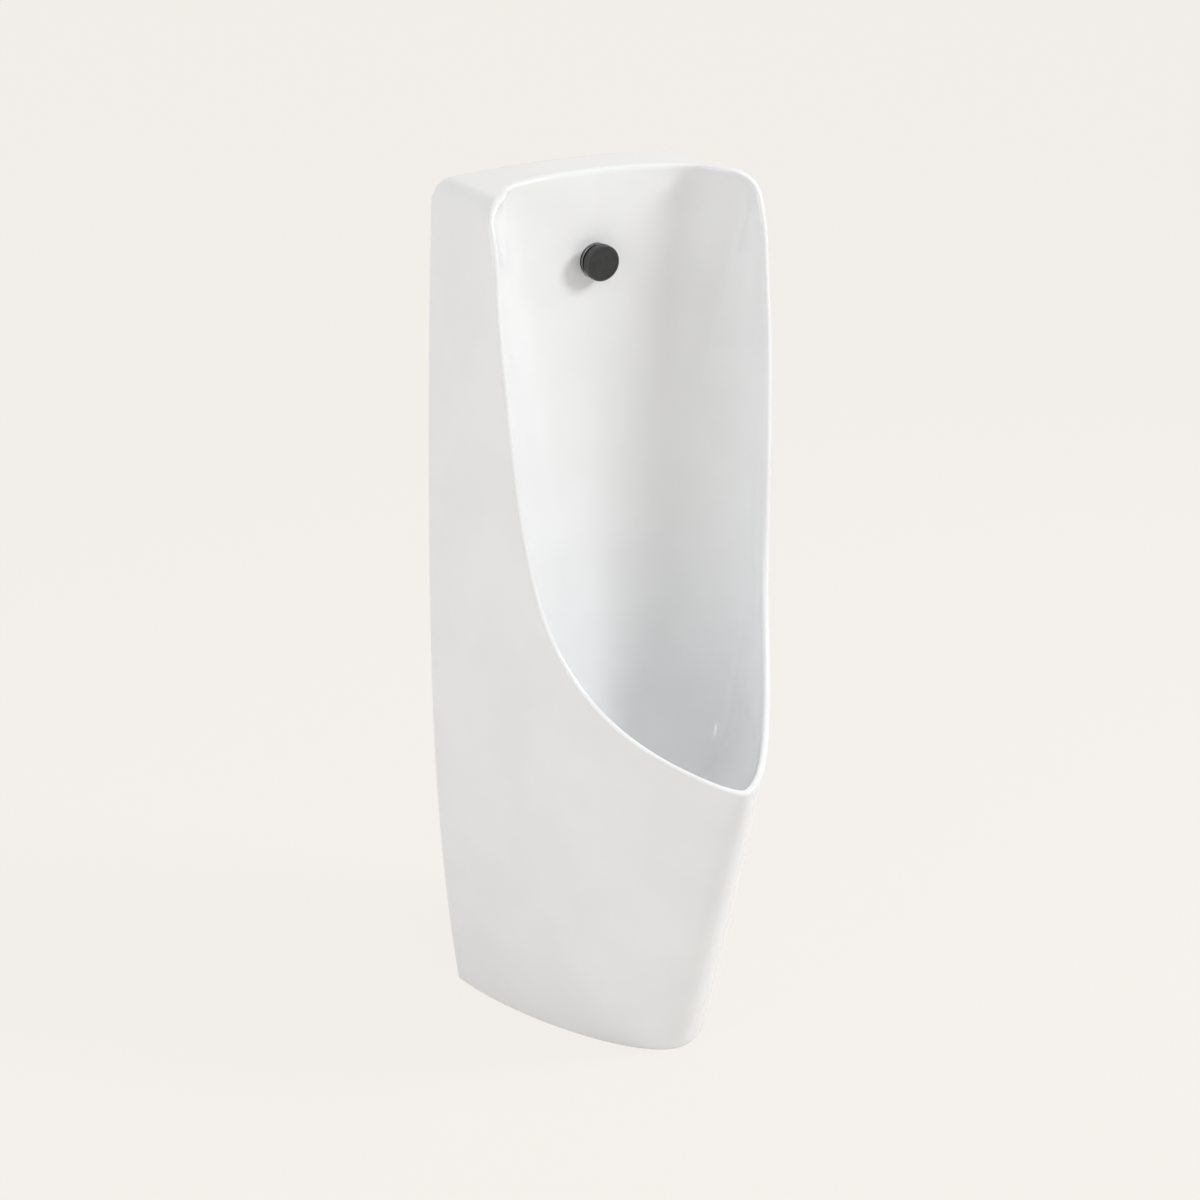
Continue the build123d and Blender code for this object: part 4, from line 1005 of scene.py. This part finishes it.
class URINAL_OT_finishes(bpy.types.Operator):
    """Gives every piece of the frame the finish of its material slot"""
    bl_idname = "urinal.finishes"
    bl_label = "Finishes"

    def execute(self, context):
        finishes = node_materials()
        for row in frame["record"]["subparts"]:
            slot = row["material_slot"]
            if slot == BODY_SLOT:
                continue
            if slot not in finishes:
                raise RuntimeError(f"no finish is made for the slot {slot}")
            piece = frame["nodes"][row["node"]]
            piece.data.materials.clear()
            piece.data.materials.append(finishes[slot])
        return {"FINISHED"}


# Stage

CAMERA_PLACE = (-1.20387, -2.03192, 1.50907)
CAMERA_VIEW = (0.45108883, 0.80817895, -0.37863657)
CAMERA_LENS = 69.0
LIGHT_DISTANCE = 2.6
KEY = ("key", (0.71, -0.45, 0.52), 0.8)
SIDE = ("side", (-0.93, -0.22, 0.3), 1.5)
FLOOR_SIZE = 40.0
ZENITH_FILL = 3.0
FLOOR_GLOW = 1.02
FLOOR_GLOW_SHARE = 0.92


def shown_as_background(tree, hidden, shown):
    """A shader that camera, mirror and clear surfaces see as the plain background."""
    rays = add_node(tree, "ShaderNodeLightPath")
    either = add_node(tree, "ShaderNodeMath", {
        0: rays.outputs["Is Camera Ray"], 1: rays.outputs["Is Glossy Ray"]}, operation="MAXIMUM")
    any_ray = add_node(tree, "ShaderNodeMath", {
        0: either.outputs[0], 1: rays.outputs["Is Transmission Ray"]}, operation="MAXIMUM")
    mixed = add_node(tree, "ShaderNodeMixShader", {0: any_ray.outputs[0], 1: hidden, 2: shown})
    return mixed.outputs[0]


class URINAL_OT_stage(bpy.types.Operator):
    """Pale floor, plain background, soft lights and the camera"""
    bl_idname = "urinal.stage"
    bl_label = "Stage"

    def execute(self, context):
        scene, studio = context.scene, context.scene.urinal_studio
        self.world(scene, studio)
        self.floor(scene, studio)
        self.lights(scene, studio)
        data = bpy.data.cameras.new("camera")
        data.lens, data.sensor_width, data.clip_end = CAMERA_LENS, 36.0, 100.0
        camera = bpy.data.objects.new("camera", data)
        camera.location = CAMERA_PLACE
        camera.rotation_euler = Vector(CAMERA_VIEW).to_track_quat("-Z", "Y").to_euler()
        scene.collection.objects.link(camera)
        scene.camera = camera
        scene.view_settings.view_transform = "Standard"
        return {"FINISHED"}

    def world(self, scene, studio):
        world = bpy.data.worlds.new("studio")
        world.use_nodes = True
        tree = world.node_tree
        tree.nodes.clear()
        place = add_node(tree, "ShaderNodeTexCoord").outputs["Generated"]
        height = add_node(tree, "ShaderNodeSeparateXYZ", {"Vector": place}).outputs["Z"]
        brighter_above = add_node(tree, "ShaderNodeMapRange", {
            "Value": height, "To Min": studio.fill_strength, "To Max": ZENITH_FILL * studio.fill_strength})
        fill = add_node(tree, "ShaderNodeBackground", {
            "Color": linear("#FFFFFF"), "Strength": brighter_above.outputs["Result"]})
        seen = add_node(tree, "ShaderNodeBackground", {"Color": linear(studio.floor), "Strength": 1.0})
        add_node(tree, "ShaderNodeOutputWorld", {
            "Surface": shown_as_background(tree, fill.outputs[0], seen.outputs[0])})
        scene.world = world

    def floor(self, scene, studio):
        bm = bmesh.new()
        bmesh.ops.create_grid(bm, x_segments=1, y_segments=1, size=FLOOR_SIZE)
        floor = make_object(bm, "floor")
        material = bpy.data.materials.new("floor")
        material.use_nodes = True
        tree = material.node_tree
        tree.nodes.clear()
        lit = add_node(tree, "ShaderNodeBsdfDiffuse", {"Color": linear(studio.floor)})
        seen = add_node(tree, "ShaderNodeEmission", {"Color": linear(studio.floor), "Strength": FLOOR_GLOW})
        shadowed = add_node(tree, "ShaderNodeMixShader", {
            0: FLOOR_GLOW_SHARE, 1: lit.outputs[0], 2: seen.outputs[0]})
        add_node(tree, "ShaderNodeOutputMaterial", {
            "Surface": shown_as_background(tree, lit.outputs[0], shadowed.outputs[0])})
        floor.data.materials.append(material)

    def lights(self, scene, studio):
        for (name, direction, size), power in ((KEY, studio.key_power), (SIDE, studio.side_power)):
            data = bpy.data.lights.new(name, "AREA")
            data.shape, data.size, data.energy = "DISK", size, power
            light = bpy.data.objects.new(name, data)
            towards = Vector(direction).normalized()
            light.location = Vector((0, 0, 0.7)) + towards * LIGHT_DISTANCE
            light.rotation_euler = (-towards).to_track_quat("-Z", "Y").to_euler()
            scene.collection.objects.link(light)


class URINAL_PT_panel(bpy.types.Panel):
    """Lists the steps that make the urinal"""
    bl_idname = "URINAL_PT_panel"
    bl_label = "Floor-standing urinal"
    bl_space_type = "VIEW_3D"
    bl_region_type = "UI"
    bl_category = "Urinal"

    def draw(self, context):
        for step in STEPS:
            self.layout.operator(step.bl_idname)
        for group in (context.scene.urinal_form, context.scene.urinal_finish, context.scene.urinal_studio):
            for name in group.bl_rna.properties.keys():
                if name not in ("name", "rna_type"):
                    self.layout.prop(group, name)


STEPS = (URINAL_OT_stage, URINAL_OT_body, URINAL_OT_finishes)
CLASSES = (UrinalForm, UrinalFinish, UrinalStudio, *STEPS, URINAL_PT_panel)


def register():
    for cls in CLASSES:
        bpy.utils.register_class(cls)
    bpy.types.Scene.urinal_form = bpy.props.PointerProperty(type=UrinalForm)
    bpy.types.Scene.urinal_finish = bpy.props.PointerProperty(type=UrinalFinish)
    bpy.types.Scene.urinal_studio = bpy.props.PointerProperty(type=UrinalStudio)


def unregister():
    del bpy.types.Scene.urinal_form
    del bpy.types.Scene.urinal_finish
    del bpy.types.Scene.urinal_studio
    for cls in reversed(CLASSES):
        bpy.utils.unregister_class(cls)


def main():
    register()
    bpy.ops.urinal.stage()
    bpy.ops.urinal.body()
    bpy.ops.urinal.finishes()


if __name__ == "__main__":
    main()
